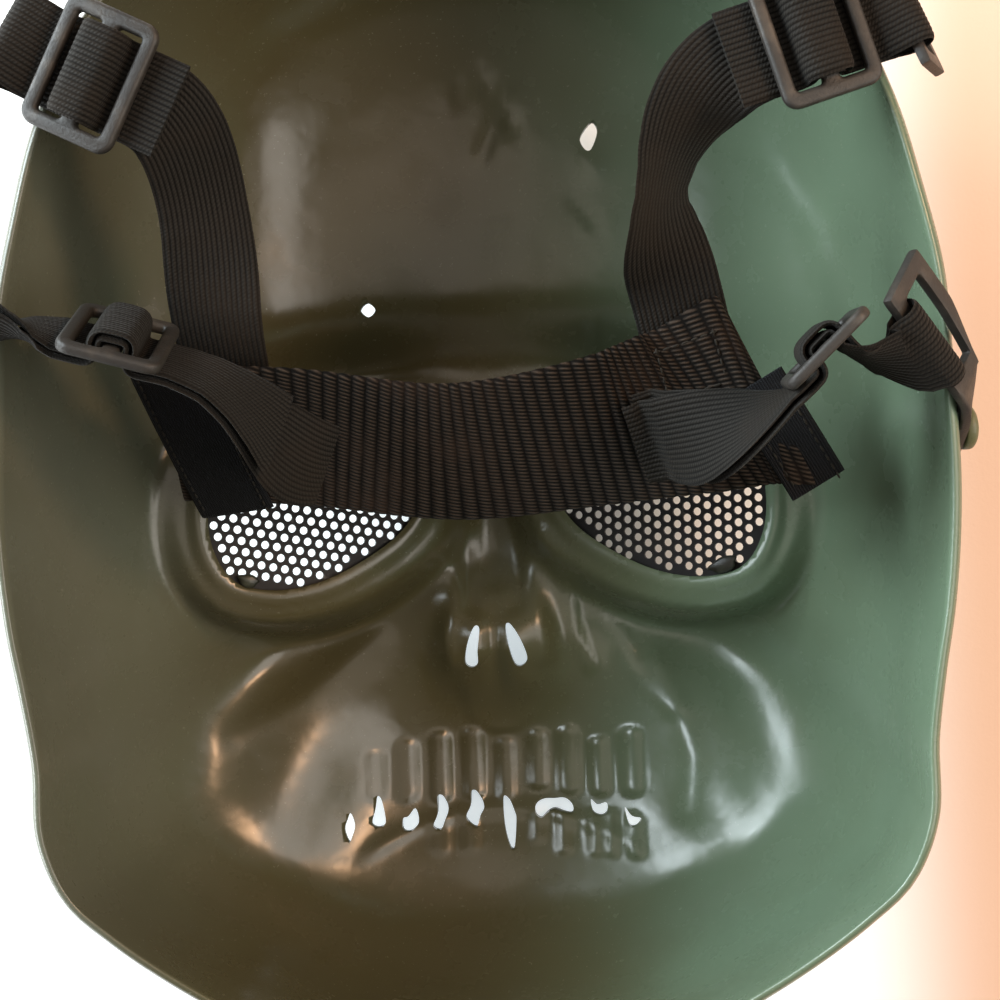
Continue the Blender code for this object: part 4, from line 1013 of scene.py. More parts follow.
class Path:
    """Centre line of a strap: points, the way across the webbing there, and corner radii."""

    def __init__(self):
        self.knots = []

    def at(self, point, across, radius=0.0, facing=None):
        self.knots.append((Vector(point), Vector(across).normalized(), radius, facing))

    def local(self, frame, along, height, radius=0.0):
        self.at(frame @ Vector((along, 0.0, height)), frame.col[1].xyz, radius)

    def over(self, frames, heights, way=1):
        for frame, height in zip(frames, heights):
            self.at(frame @ Vector((0.0, 0.0, height)), frame.col[1].xyz, 0.0,
                    frame.col[2].xyz * way)

    def frames(self, arc_steps=3):
        stops = []
        for k, (point, across, radius, facing) in enumerate(self.knots):
            if radius == 0.0 or k in (0, len(self.knots) - 1):
                stops.append((point, across, facing))
                continue
            before = (self.knots[k - 1][0] - point).normalized()
            after = (self.knots[k + 1][0] - point).normalized()
            half = before.angle(after) / 2
            centre = point + (before + after).normalized() * (radius / math.sin(half))
            first = point + before * (radius / math.tan(half)) - centre
            last = point + after * (radius / math.tan(half)) - centre
            sweep = first.rotation_difference(last)
            for step in range(arc_steps + 1):
                part = sweep.copy()
                part.identity()
                stops.append((centre + part.slerp(sweep, step / arc_steps) @ first, across, None))
        made = []
        for k, (point, across, facing) in enumerate(stops):
            run = (stops[min(k + 1, len(stops) - 1)][0] - stops[max(k - 1, 0)][0]
                   if facing is None else across.cross(facing))
            made.append(frame_from(point, run, across))
        return made


def seat_frame(centre, run, face):
    run, face = Vector(run).normalized(), Vector(face).normalized()
    return frame_from(place(*centre), run, face.cross(run))


def moved(frame, x, y, z):
    return frame @ Matrix.Translation((x, y, z))


def on_band(along, across, face, run, rise=0.0):
    """Frame of a strap layer on a face of the band."""
    band = band_frame(along)
    height = face * ((BAND_THICKNESS + STRAP_THICKNESS) / 2 + BAND_CLEARANCE + rise)
    run = band.to_3x3() @ Vector(run)
    return frame_from(band @ Vector((0.0, across * BAND_WIDTH, height)), run,
                      band.col[2].xyz.cross(run))


def eased(start, end, count):
    return [start + (end - start) * float(smooth_step(k / (count - 1))) for k in range(count)]


def plate_frame(name):
    """Frame of a rim buckle, with its origin at the free end of the strap's bar."""
    centre, run, across, _ = BUCKLE_SEATS[name]
    return moved(frame_from(place(*centre), run, across), -BUCKLE["length"] / 2,
                 -BUCKLE["frame"] / 2, 0.0)


def bar_frame(name, slider):
    """Frame on the bar that the strap goes round, and the bar's reach from its axis."""
    plate = plate_frame(name)
    centre = plate @ Vector((BUCKLE["length"] / 2, BUCKLE["frame"] / 2, 0.0))
    axis = plate.col[0].xyz
    axis = -axis if axis.dot(slider.col[1].xyz) < 0.0 else axis
    pull = centre - slider.translation
    pull = (pull - axis * pull.dot(axis)).normalized()
    frame = Matrix((pull, axis, pull.cross(axis))).transposed().to_4x4()
    frame.translation = centre
    return frame, math.hypot(BUCKLE["frame"] / 2, BUCKLE["thickness"] / 2)


print("band from", [round(c, 3) for c in band_frame(0.0).translation], "to",
      [round(c, 3) for c in band_frame(1.0).translation])

# %% [markdown]
# ## One strap from end to end
#
# Every strap is sewn to the band, goes up to its slider, over the middle bar, out to the rim
# buckle, round its bar, and back over the same slider. That double pass is what makes the length
# adjustable and keeps it from slipping. What is left over is the tail.

# %% Strap paths
def strap_frames(name):
    slider = seat_frame(*SLIDER_SEATS[name])
    lift = SLIDER["thickness"] / 2 + LAYER_GAP + STRAP_THICKNESS / 2
    layer = STRAP_THICKNESS + LAYER_GAP
    inner = SLIDER["bar"] / 2 + LAYER_GAP + STRAP_THICKNESS / 2
    bend = LAYER_GAP + STRAP_THICKNESS / 2
    end = SLIDER["length"] / 2 + 0.0012
    upper, straight_out = name.startswith("upper"), name == "lower_right"

    start_along, start_across, exit_along, exit_across, face, knot, knot_face = BAND_SEATS[name]
    run = (0, 1, 0) if upper else (math.copysign(1, exit_along - start_along), 0, 0)
    path = Path()
    for k in (0, 0.5, 1):
        leave = on_band(start_along + (exit_along - start_along) * k,
                        start_across + (exit_across - start_across) * k, face, run,
                        0.0020 if upper else 0.0)
        path.local(leave, 0.0, 0.0)
    arrive = moved(slider, -end, 0.0, -lift - layer)
    if knot:
        way = (arrive.translation - leave.translation).normalized() + Vector((0.0, 0.6, 0.0))
        middle = frame_from(place(*knot), way, Vector(knot_face).cross(way))
        near = span_frames(leave, middle)[1:] + span_frames(middle, arrive)[1:]
    else:
        peel = leave @ Matrix.Rotation(-math.radians(50), 4, "Y")
        near = span_frames(moved(peel, 0.002, 0.0, 0.0), arrive)
    path.over(near, [0.0] * len(near))

    path.local(slider, -inner, -lift - layer, bend + layer)
    path.local(slider, -inner, lift, bend)
    path.local(slider, inner, lift, bend)
    bar, bar_radius = bar_frame(name, slider)
    reach = bar_radius + LAYER_GAP + STRAP_THICKNESS / 2
    if straight_out:
        exit_place = slider @ Vector((inner + layer / 2, 0.0, -lift - 0.0035))
        leave_slider = frame_from(exit_place, -slider.col[2].xyz, slider.col[1].xyz)
    else:
        path.local(slider, inner, -lift - layer, bend + layer)
        leave_slider = moved(slider, end, 0.0, -lift - layer / 2)
    far = span_frames(leave_slider, bar)
    path.over(far, eased(-layer / 2, -reach, len(far)))
    for step in range(1, 6):
        turn = math.pi * (step / 6 - 0.5)
        path.local(bar, reach * math.cos(turn), reach * math.sin(turn))
    path.over(far[::-1], eased(reach, layer / 2, len(far)), -1)
    if not straight_out:
        path.local(slider, inner + layer, -lift, bend)
    path.local(slider, inner + layer, lift + layer, bend + layer)
    path.local(slider, -inner - layer, lift + layer, bend + layer)
    path.local(slider, -inner - layer, -lift, bend)
    path.local(slider, -end, -lift)
    if upper:
        path.local(slider, -end - 0.006, -lift)
        return path.frames()
    back = list(zip(near[-2:0:-1], eased(layer, TAIL_RISE, len(near))[1:]))
    if name == "lower_left":
        back = back[:round(len(back) * LEFT_TAIL)]
    path.over(*zip(*back), -1)
    if name == "lower_right":
        for k in (1, 2, 3):
            here = exit_along + (RIGHT_TAIL_END - exit_along) * k / 3
            path.local(on_band(here, exit_across, face, run, TAIL_RISE), 0.0, 0.0)
    return path.frames()


def finer(frames, step):
    """The same path with many more stations on a smooth curve through the old ones."""
    points = np.array([f.translation for f in frames])
    sides = np.array([f.col[1].xyz for f in frames])
    runs = np.gradient(points, axis=0)
    runs /= np.linalg.norm(runs, axis=1)[:, None]
    lengths = np.linalg.norm(np.diff(points, axis=0), axis=1)
    made = []
    for k, length in enumerate(lengths):
        count = max(1, round(length / step))
        ends = points[k], runs[k] * length, points[k + 1], runs[k + 1] * length
        for t in np.arange(count) / count:
            made.append(frame_from(cubic(t, *ends), cubic_run(t, *ends),
                                   sides[k] * (1 - t) + sides[k + 1] * t))
    return made + [frames[-1]]


def calmer(frames, rounds=120, tight=190.0):
    """The same frames with the free spans smoothed, and the turns round a bar left alone."""
    points = np.array([f.translation for f in frames])
    sides = np.array([f.col[1].xyz for f in frames])
    steps = np.linalg.norm(np.gradient(points, axis=0), axis=1)
    bend = np.linalg.norm(np.gradient(np.gradient(points, axis=0), axis=0), axis=1) / steps ** 2
    free = np.array([bend[max(0, k - 4):k + 5].max() < tight for k in range(len(frames))])
    free[:2] = free[-2:] = False
    for count, values in ((rounds, points), (rounds * 2, sides)):
        for _ in range(count):
            middle = (values[:-2] + values[2:]) / 2 - values[1:-1]
            values[1:-1] += middle * 0.5 * free[1:-1, None]
    runs = np.gradient(points, axis=0)
    return [frame_from(p, r, s) for p, r, s in zip(points, runs, sides)]


STATION_STEP = 0.0009
HIDDEN_STATIONS = 18
STRAPS = {name: finer(strap_frames(name), STATION_STEP) for name in SLIDER_SEATS}
STRAPS["lower_right"] = calmer(STRAPS["lower_right"])
# The lower left strap comes out from under the end piece of the band.
STRAPS["lower_left"] = STRAPS["lower_left"][HIDDEN_STATIONS:]
for name, frames in STRAPS.items():
    length = sum((b.translation - a.translation).length for a, b in zip(frames, frames[1:]))
    print("strap", name, round(length * 1000), "mm in", len(frames), "stations")

# %% [markdown]
# ## Woven tape as a mesh
#
# The tape is a fine grid swept along its frames, closed round both edges. Each vertex remembers
# where it lies in the weave, in metres: how far along and how far across. Both the ribs and the
# material read that attribute, which is why they follow every bend and twist of the webbing.
# The ribs are real relief, made by Geometry Nodes: a wave of the chosen pitch lifts the surface
# along its normal. Straps are ribbed lengthwise, and the wide elastic band is ribbed across.
# `slant` pulls the upper edge back near the far end, for a tape that is cut at an angle.

# %% Woven tape
SLANT_START = 0.70


def tape(name, frames, width, thickness, columns, finish, slant=0.0):
    share = np.linspace(-1.0, 1.0, columns)
    edge = (1.0 - np.abs(share) ** 12) ** 0.5
    across = np.append(share, share[-2:0:-1]) * width / 2
    height = np.append(edge, -edge[-2:0:-1]) * thickness / 2
    ring = len(across)
    vertices, weave, along = [], [], 0.0
    for k, frame in enumerate(frames):
        if k:
            along += (frame.translation - frames[k - 1].translation).length
        late = max(0.0, k / len(frames) - SLANT_START) / (1.0 - SLANT_START)
        local = np.column_stack((-slant * late * (across / width + 0.5), across, height))
        vertices.append(local @ np.array(frame.to_3x3()).T + np.array(frame.translation))
        weave.append(np.column_stack((np.full(ring, along), across, np.sign(height))))
    faces = []
    first = np.arange(ring)
    for k in range(len(frames) - 1):
        low, high = first + k * ring, first + (k + 1) * ring
        faces += np.column_stack((low, np.roll(low, -1), np.roll(high, -1), high)).tolist()
    for start, flip in ((0, 1), ((len(frames) - 1) * ring, -1)):
        top = list(range(columns))
        low = [0] + list(range(ring - 1, columns - 1, -1)) + [columns - 1]
        for i in range(columns - 1):
            quad = dict.fromkeys((top[i], low[i], low[i + 1], top[i + 1]))
            faces.append([start + q for q in quad][::flip])
    piece = new_piece(name, np.vstack(vertices), faces, finish)
    attribute(piece.data, "weave", np.vstack(weave))
    cleaned(piece.data)
    return piece


def ribs_tree():
    tree = Tree("woven_ribs", Pitch="Float", Height="Float", Across="Float", Finish="Material")
    weave = tree.node("GeometryNodeInputNamedAttribute", {"data_type": "FLOAT_VECTOR"},
                      {"Name": "weave"})
    parts = tree.node("ShaderNodeSeparateXYZ", None, {0: weave}).node.outputs
    chosen = tree.node("ShaderNodeMix", {"data_type": "FLOAT"},
                       {0: tree.given("Across"), 2: parts[1], 3: parts[0]})
    turn = tree.math("MULTIPLY", tree.math("DIVIDE", chosen, tree.given("Pitch")), math.pi)
    rib = tree.math("POWER", tree.math("ABSOLUTE", tree.math("COSINE", turn)), 0.7)
    wander = tree.node("ShaderNodeTexNoise", None, {"Vector": weave, "Scale": 900.0})
    lift = tree.math("MULTIPLY", tree.math("SUBTRACT", rib, tree.math("MULTIPLY", wander, 0.35)),
                     tree.given("Height"))
    normal = tree.node("GeometryNodeInputNormal")
    offset = tree.node("ShaderNodeVectorMath", {"operation": "SCALE"}, {0: normal, "Scale": lift})
    lifted = tree.node("GeometryNodeSetPosition", None,
                       {"Geometry": tree.given("Geometry"), "Offset": offset})
    tree.finish(lifted, tree.given("Finish"))
    return tree


WOVEN_RIBS = ribs_tree()
print("tree:", WOVEN_RIBS.tree.name)

# %% [markdown]
# ## Webbing finishes
#
# Black webbing is never quite black. Its colour is painted lighter along each thread, as a
# painted highlight, and darker in the valleys between the ribs, as painted shade; loose fibres
# grey it a little, and the dye has gone brown where it has been handled. The threads are a product
# of two waves in the weave's own coordinates. A little sheen stands for the fuzz.

# %% Webbing finishes
def webbing(name, dark, light, warm, pitch, thread, lengthwise, depth=0.3):
    finish = Finish(name, Sheen_Weight=0.04, Sheen_Roughness=0.4, Specular_IOR_Level=0.16)
    along, across, _ = finish.own("weave")
    place = finish.place()
    rib_axis, thread_axis = (across, along) if lengthwise else (along, across)
    rib = (rib_axis * (math.pi / pitch)).math("COSINE").math("ABSOLUTE")
    lean = rib_axis * (0.8 / pitch)
    strand = (thread_axis * (1.0 / thread) + lean) * (2.0 * math.pi)
    strand = strand.math("SINE") * 0.5 + 0.5
    fibre = finish.noise(place, 0.0005, 3.0, 0.7)
    faded = finish.noise(place, 0.020, 3.0)
    # Painted highlight and shade: lighter on the rib tops and threads, darker in the valleys.
    painted_rib_light = (rib ** 0.6) * (1.0 - depth + strand * depth) * (0.6 + fibre * 0.8)
    colour = finish.mix(painted_rib_light.above(0.15, 1.1), dark, light)
    colour = finish.mix(faded.above(0.45, 0.75) * 0.55, colour, warm)
    finish.use("Base Color", colour)
    finish.use("Roughness", 0.95 - painted_rib_light * 0.28)
    return finish.relief(rib * 0.4 + strand * rib * depth + fibre * 0.3, 0.00035, 0.9).material


BAND_PITCH, STRAP_PITCH = 0.0030, 0.00110
BAND_RIB, STRAP_RIB = 0.00026, 0.00013
# What the ribs add to the tape, so that the ribbed tape is as large as its solid.
BAND_ROOM, STRAP_ROOM = (0.0008, 0.0006), (0.0004, 0.0004)
BAND_SLANT = 0.0215
BAND_WEBBING = webbing("band_webbing", (0.0025, 0.002, 0.0015), (0.052, 0.038, 0.028),
                       (0.030, 0.018, 0.012), BAND_PITCH, 0.0010, False, 0.85)
BLACK_WEBBING = webbing("black_webbing", (0.0035, 0.003, 0.0025), (0.020, 0.018, 0.015),
                        (0.020, 0.014, 0.009), STRAP_PITCH, 0.0008, True, 0.25)


def woven(piece, pitch, height, across, slot, node):
    """Relief ribs on a tape; across is 1 for ribs that cross it and 0 for lengthwise ones."""
    WOVEN_RIBS.run(piece, Pitch=pitch, Height=height, Across=across,
                   Finish=piece.data.materials[0])
    applied(piece, 70.0)
    return rides(piece, slot, node)


band_frames = [band_frame(share) for share in np.linspace(0.002, 0.998, 390)]
band = tape("band_elastic", band_frames, BAND_WIDTH - BAND_ROOM[0],
            BAND_THICKNESS - BAND_ROOM[1], 56, BAND_WEBBING, BAND_SLANT)
woven(band, BAND_PITCH, BAND_RIB, 1.0, "band_webbing", "head_band")
for name, frames in STRAPS.items():
    strap = tape("webbing_" + name, frames, STRAP_WIDTH - STRAP_ROOM[0],
                 STRAP_THICKNESS - STRAP_ROOM[1], 66, BLACK_WEBBING)
    woven(strap, STRAP_PITCH, STRAP_RIB, 0.0, "black_webbing", "strap_" + name)
    print(strap.name, len(strap.data.polygons), "faces")

# %% [markdown]
# ## Moulded fittings
#
# Sliders and rim buckles are tough dark plastic with a satin, slightly grained skin. On the real
# ones the corners are polished by the webbing and pick up a greyish wear, so the finish has a
# large soft wear mask with a fine grain under it.

# %% Fitting plastics
def fitting_plastic(name, colour, worn_colour, roughness):
    finish = Finish(name, Specular_IOR_Level=0.5)
    place = finish.place()
    grain = finish.noise(place, 0.0006, 3.0, 0.6)
    patches = finish.noise(place, 0.007, 3.0, 0.6)
    worn = patches.above(0.48, 0.72) * (0.4 + grain * 0.6)
    finish.use("Base Color", finish.mix(worn, colour, worn_colour))
    finish.use("Roughness", roughness + grain * 0.20 - worn * 0.12)
    return finish.relief(grain * 0.6 + patches * 0.4, 0.00025, 0.6).material


FITTING_PLASTIC = fitting_plastic("fitting_plastic", (0.022, 0.019, 0.016),
                                  (0.060, 0.050, 0.040), 0.44)
RIVET_PLASTIC = fitting_plastic("rivet_plastic", (0.105, 0.112, 0.052), (0.17, 0.165, 0.09), 0.34)

# %% [markdown]
# ## Sliders
#
# A slider is a flat plate with two slots and one bar between them. It is drawn as a flat curve
# with two holes and given its thickness and rounded edges by the curve's own bevel.

# %% Slider plates
def rounded_rectangle(half_x, half_y, radius, centre=(0.0, 0.0), steps=6):
    points = []
    for sx, sy, start in ((1, 1, 0), (-1, 1, 90), (-1, -1, 180), (1, -1, 270)):
        for k in range(steps + 1):
            turn = math.radians(start + 90 * k / steps)
            points.append((centre[0] + sx * (half_x - radius) + radius * math.cos(turn),
                           centre[1] + sy * (half_y - radius) + radius * math.sin(turn)))
    return points


def rounded_plate(name, loops, thickness, rounding, seat, finish):
    """Plate with rounded edges from an outline and its windows."""
    holder = drawn_curve(name, loops, "2D")
    curve = holder.data
    curve.fill_mode = "BOTH"
    curve.extrude = thickness / 2 - rounding
    curve.bevel_depth = rounding
    curve.bevel_resolution = 2
    curve.offset = -rounding
    piece = curve_piece(name, holder, seat)
    cleaned(piece.data, 0.000005)
    piece.data.materials.clear()
    piece.data.materials.append(finish)
    piece.data.shade_smooth()
    piece.data.set_sharp_from_angle(angle=math.radians(40))
    return piece


for name, (centre, run, face) in SLIDER_SEATS.items():
    half_slot = (SLIDER["length"] / 2 - SLIDER["frame"] - SLIDER["bar"] / 2) / 2
    slot_x = SLIDER["bar"] / 2 + half_slot
    loops = [rounded_rectangle(SLIDER["length"] / 2, SLIDER["breadth"] / 2, 0.0032)]
    loops += [rounded_rectangle(half_slot, STRAP_WIDTH / 2 + 0.0008, 0.0009, (side * slot_x, 0.0))
              for side in (-1, 1)]
    plate = rounded_plate("slider_plate_" + name, loops, SLIDER["thickness"], 0.00085,
                          seat_frame(centre, run, face), FITTING_PLASTIC)
    rides(plate, "fitting_plastic", "slider_" + name)
    print(plate.name, len(plate.data.polygons), "faces")

# %% [markdown]
# ## Rim buckles and rivets
#
# A rim buckle is a small ladder: the strap goes round one bar, and a tongue runs from the other
# corner down to a rivet in the shell. It is a lattice of frames, thin in one direction, that
# turns from the strap's plane into the wall's plane. Half-creased edges and two subdivisions make
# it look cast instead of folded. The rivet is a turned profile with a soft dome.

# %% Rim buckles
BUCKLE_CREASE = 0.42


def wall_frame(angle_degrees, depth):
    """Frame on the outer wall below the rim: Z out of the wall, X along the rim."""
    angle = math.radians(angle_degrees)
    radii = np.linspace(0.7, 1.0, 31)
    points = bowl(radii, np.full(radii.shape, angle))
    radius = np.interp(points[-1, 2] - depth, points[:, 2], radii)
    here = np.array([radius]), np.array([angle])
    normal = Vector(wall_normal(*here, lambda wall: wall, 0.01)[0])
    along = Vector((-math.sin(angle), math.cos(angle), 0.0))
    x = (along - normal * along.dot(normal)).normalized()
    frame = Matrix((x, normal.cross(x), normal)).transposed().to_4x4()
    frame.translation = Vector(bowl(*here)[0]) + normal * WALL
    return frame


def buckle_columns(name):
    """Frames across the plate and down the tongue, each with its taper."""
    plate = plate_frame(name)
    wall = wall_frame(BUCKLE_SEATS[name][3], RIVET_DEPTH)
    out = wall.col[2].xyz
    rivet = wall @ Vector((0.0, 0.0, LAYER_GAP + BUCKLE["thickness"] / 2))
    length, rail = BUCKLE["length"], BUCKLE["frame"]
    columns = []
    for u in (0.0, rail, length / 2, length - rail, length):
        taper = 1.0 - 0.85 * float(smooth_step((u / length - 0.45) / 0.6))
        columns.append((plate @ Matrix.Translation((u, TONGUE_WIDTH / 2, 0.0)), taper))
    root = columns[-1][0]
    facing = 1.0 if root.col[2].xyz.dot(out) > 0.0 else -1.0
    way = rivet - root.translation
    way = (way - out * way.dot(out)).normalized()
    arrive = rivet - way * TONGUE_END
    stops = [f.translation for f in span_frames(root, frame_from(arrive, way, out.cross(way)))]
    stops = stops[1:-1] + [arrive, rivet + way * TONGUE_END]
    for k, point in enumerate(stops, 1):
        part = min(k / (len(stops) - 1), 1.0)
        last = k >= len(stops) - 1
        heading = way if last else (stops[k] - point).normalized()
        z = (root.col[2].xyz * (1 - part) + facing * out * part).normalized()
        columns.append((frame_from(point, heading, z.cross(heading)), 1.0))
    return columns


def rim_buckle(name):
    columns = buckle_columns(name)
    rail, breadth, half = BUCKLE["frame"], BUCKLE["breadth"], BUCKLE["thickness"] / 2
    lines = (0.0, rail, TONGUE_WIDTH, breadth - rail, breadth)
    vertices = []
    for frame, taper in columns:
        for v in lines:
            y = v - TONGUE_WIDTH / 2
            if v > TONGUE_WIDTH:
                y = TONGUE_WIDTH / 2 + (v - TONGUE_WIDTH) * taper
            vertices += [frame @ Vector((0.0, y, z)) for z in (-half, half)]

    def kept(i, j):
        if not (0 <= i < len(columns) - 1 and 0 <= j < 4):
            return False
        return j < 2 if i >= 4 else i in (0, 3) or j in (0, 3)

    def index(i, j, k):
        return (i * len(lines) + j) * 2 + k

    faces = []
    for i in range(len(columns) - 1):
        for j in range(4):
            if not kept(i, j):
                continue
            corners = ((i, j), (i + 1, j), (i + 1, j + 1), (i, j + 1))
            faces.append([index(*c, 1) for c in corners])
            faces.append([index(*c, 0) for c in corners[::-1]])
            for k, (di, dj) in enumerate(((0, -1), (1, 0), (0, 1), (-1, 0))):
                if not kept(i + di, j + dj):
                    a, b = corners[k], corners[(k + 1) % 4]
                    faces.append([index(*a, 0), index(*b, 0), index(*b, 1), index(*a, 1)])
    piece = new_piece("rim_buckle_" + name, vertices, faces, FITTING_PLASTIC)
    cleaned(piece.data)
    crease = piece.data.attributes.new("crease_edge", "FLOAT", "EDGE")
    crease.data.foreach_set("value", [BUCKLE_CREASE] * len(piece.data.edges))
    smooth = piece.modifiers.new("smooth", "SUBSURF")
    smooth.levels = smooth.render_levels = 2
    return applied(piece, 60.0)


def turned(name, profile, seat, finish, sides=40):
    """Solid of revolution from (radius, height) pairs, bottom first, about the seat's Z."""
    vertices = [seat @ Vector((r * math.cos(2 * math.pi * i / sides),
                               r * math.sin(2 * math.pi * i / sides), h))
                for r, h in profile for i in range(sides)]
    faces = [list(range(sides - 1, -1, -1))]
    for ring in range(len(profile) - 1):
        for i in range(sides):
            a, b = ring * sides + i, ring * sides + (i + 1) % sides
            faces.append([a, b, b + sides, a + sides])
    last = (len(profile) - 1) * sides
    faces.append(list(range(last, last + sides)))
    piece = new_piece(name, vertices, faces, finish)
    piece.data.shade_smooth()
    piece.data.set_sharp_from_angle(angle=math.radians(50))
    return piece


HEAD_RADIUS, HEAD_HEIGHT, DOME_HEIGHT, SHANK_RADIUS = 0.0047, 0.0033, 0.0018, 0.0020
SEAT_HEIGHT = LAYER_GAP * 2 + BUCKLE["thickness"]
HEAD_TOP = SEAT_HEIGHT + HEAD_HEIGHT
RIVET_PROFILE = [(SHANK_RADIUS, -WALL * 0.9), (SHANK_RADIUS, SEAT_HEIGHT),
                 (HEAD_RADIUS - 0.0003, SEAT_HEIGHT), (HEAD_RADIUS, SEAT_HEIGHT + 0.0003)]
RIVET_PROFILE += [(HEAD_RADIUS * math.cos(t), HEAD_TOP + DOME_HEIGHT * (math.sin(t) - 1.0))
                  for t in np.linspace(0.0, math.radians(78), 7)]
RIVET_PROFILE += [(0.0009, HEAD_TOP - 0.00015), (0.0006, HEAD_TOP - 0.0004)]
for name, (_, _, _, angle) in BUCKLE_SEATS.items():
    rides(rim_buckle(name), "fitting_plastic", "buckle_" + name)
    rivet = turned("rivet_head_" + name, RIVET_PROFILE, wall_frame(angle, RIVET_DEPTH),
                   RIVET_PLASTIC)
    rides(rivet, "rivet_plastic", "rivet_" + name)
    print("buckle and rivet", name, len(rivet.data.polygons), "faces on the rivet")

# %% [markdown]
# ## Sewn ends
#
# The two ends of the elastic band are folded into smooth binding tape, and the upper straps are
# stitched on behind it. The stitches show on the front as short rows of black thread. Geometry
# Nodes walk along each row and put one small capsule per stitch, turned along the row, so the
# stitch length is one number.

# %% Binding tape and stitches
BINDING = webbing("binding_tape", (0.004, 0.004, 0.005), (0.011, 0.012, 0.014),
                  (0.008, 0.008, 0.011), 0.0006, 0.0005, True)
THREAD = webbing("sewing_thread", (0.006, 0.005, 0.004), (0.030, 0.027, 0.022),
                 (0.02, 0.016, 0.012), 0.0004, 0.0005, True)


BINDING_HEIGHT, BINDING_BULGE, THREAD_RISE = 0.0019, 0.0006, 0.0006
THREAD_HEIGHT, THREAD_INSET = 0.00125, 0.0015


def binding_place(share, lean, t, aside=0.0, rise=0.0):
    """Place on a binding tape, t of the band's width from the band's middle line."""
    height = BINDING_HEIGHT + rise + BINDING_BULGE * (1.0 - (2 * t) ** 2)
    return band_frame(share) @ Vector((aside + lean * t * BAND_WIDTH, t * BAND_WIDTH, height))


def binding(name, share, lean, low, high, width):
    """Folded tape over an end of the band, running across it from low to high."""
    base = band_frame(share)
    way = base.to_3x3() @ Vector((lean, 1.0, 0.0))
    frames = [frame_from(binding_place(share, lean, t), way, -base.col[0].xyz)
              for t in np.linspace(low, high, 60)]
    piece = tape(name, frames, width, 0.0009, 26, BINDING)
    piece.data.shade_smooth()
    return rides(piece, "black_webbing")


ENDS = (
    # name, share of the band, lean, low, high, width
    ("binding_right", 0.918, -0.42, -0.53, 0.08, 0.0130),
    ("binding_left", 0.055, -0.22, -0.53, 0.53, 0.0180),
)
for name, share, lean, low, high, width in ENDS:
    binding(name, share, lean, low, high, width)


def stitches_tree():
    tree = Tree("stitch_rows", Spacing="Float", Length="Float", Thick="Float",
                Finish="Material")
    rows = tree.node("GeometryNodeMeshToCurve", None, {0: tree.given("Geometry")})
    spots = tree.node("GeometryNodeCurveToPoints", {"mode": "LENGTH"},
                      {"Curve": rows, "Length": tree.given("Spacing")}).node
    painted_rim_highlight = tree.node("GeometryNodeMeshUVSphere", None,
                     {"Segments": 6, "Rings": 4, "Radius": 0.5})
    size = tree.node("ShaderNodeCombineXYZ", None,
                     {0: tree.given("Thick"), 1: tree.given("Thick"), 2: tree.given("Length")})
    along = tree.node("FunctionNodeAlignRotationToVector", {"axis": "Z"},
                      {"Vector": spots.outputs["Tangent"]})
    placed = tree.node("GeometryNodeInstanceOnPoints", None,
                       {"Points": spots.outputs["Points"], "Instance": painted_rim_highlight,
                        "Rotation": along, "Scale": size})
    tree.finish(placed, tree.given("Finish"))
    return tree


STITCHES = stitches_tree()


def stitch_rows(name, rows):
    """Rows of thread through points; each row is a list of places."""
    vertices, edges = [], []
    for row in rows:
        start = len(vertices)
        vertices += row
        edges += [(start + i, start + i + 1) for i in range(len(row) - 1)]
    piece = new_piece(name, vertices, [], THREAD)
    piece.data.edges.add(len(edges))
    piece.data.edges.foreach_set("vertices", np.array(edges).ravel())
    piece.data.update()
    STITCHES.run(piece, Spacing=0.0021, Length=0.0017, Thick=0.00055, Finish=THREAD)
    applied(piece)
    return rides(piece, "black_webbing")


def thread_place(share, across):
    return band_frame(share) @ Vector((0.0, across * BAND_WIDTH, THREAD_HEIGHT))


BOX_LOW, BOX_HIGH, BOX_HALF = 0.12, 0.40, 0.045
rows = []
for middle in (BAND_SEATS["upper_left"][0], BAND_SEATS["upper_right"][0]):
    ends = middle - BOX_HALF, middle + BOX_HALF
    rows += [[thread_place(share, across) for share in np.linspace(*ends, 12)]
             for across in (BOX_LOW, BOX_HIGH)]
    rows += [[thread_place(share, across) for across in np.linspace(BOX_LOW, BOX_HIGH, 8)]
             for share in ends]
for _, share, lean, low, high, width in ENDS:
    rows += [[binding_place(share, lean, t, side * (width / 2 - THREAD_INSET), THREAD_RISE)
              for t in np.linspace(low + 0.04, high - 0.04, 14)] for side in (-1, 1)]
print(stitch_rows("stitches", rows).name, "in", len(rows), "rows")

# %% [markdown]
# ## Pegs that hold the eye sheets
#
# Each steel sheet is held by pegs that were melted over its edge. A melted peg is a flattened,
# slightly lopsided button, darker than the shell because the heat scorches it.

# %% Melted pegs
def melted_peg(name, x, y, turn, size):
    side = math.copysign(1.0, x)
    lean = math.atan(EYE_PLANE_SLOPE)
    height = EYE_PLANE_HEIGHT + EYE_PLANE_SLOPE * (abs(x) - EYE_CENTRE.x) + 0.0008
    seat = frame_from((x, y, height), (math.cos(lean), 0.0, side * math.sin(lean)), (0, 1, 0))
    seat = seat @ Matrix.Rotation(turn, 4, "Z")
    work = bmesh.new()
    bmesh.ops.create_icosphere(work, subdivisions=3, radius=1.0)
    for vertex in work.verts:
        a, b, c = vertex.co
        swell = 1.0 + 0.16 * math.sin(3.1 * a + 1.0) + 0.12 * math.sin(4.3 * b)
        vertex.co = Vector((a * size[0] * swell, b * size[1] * swell,
                            c * size[2] * (1.0 - 0.25 * a * a)))
    mesh = bpy.data.meshes.new(name)
    work.to_mesh(mesh)
    work.free()
    mesh.transform(Matrix.Translation(SHELL_MIDDLE) @ seat)
    mesh.shade_smooth()
    mesh.materials.append(SCORCHED)
    return rides(linked(name, mesh), "black_steel")


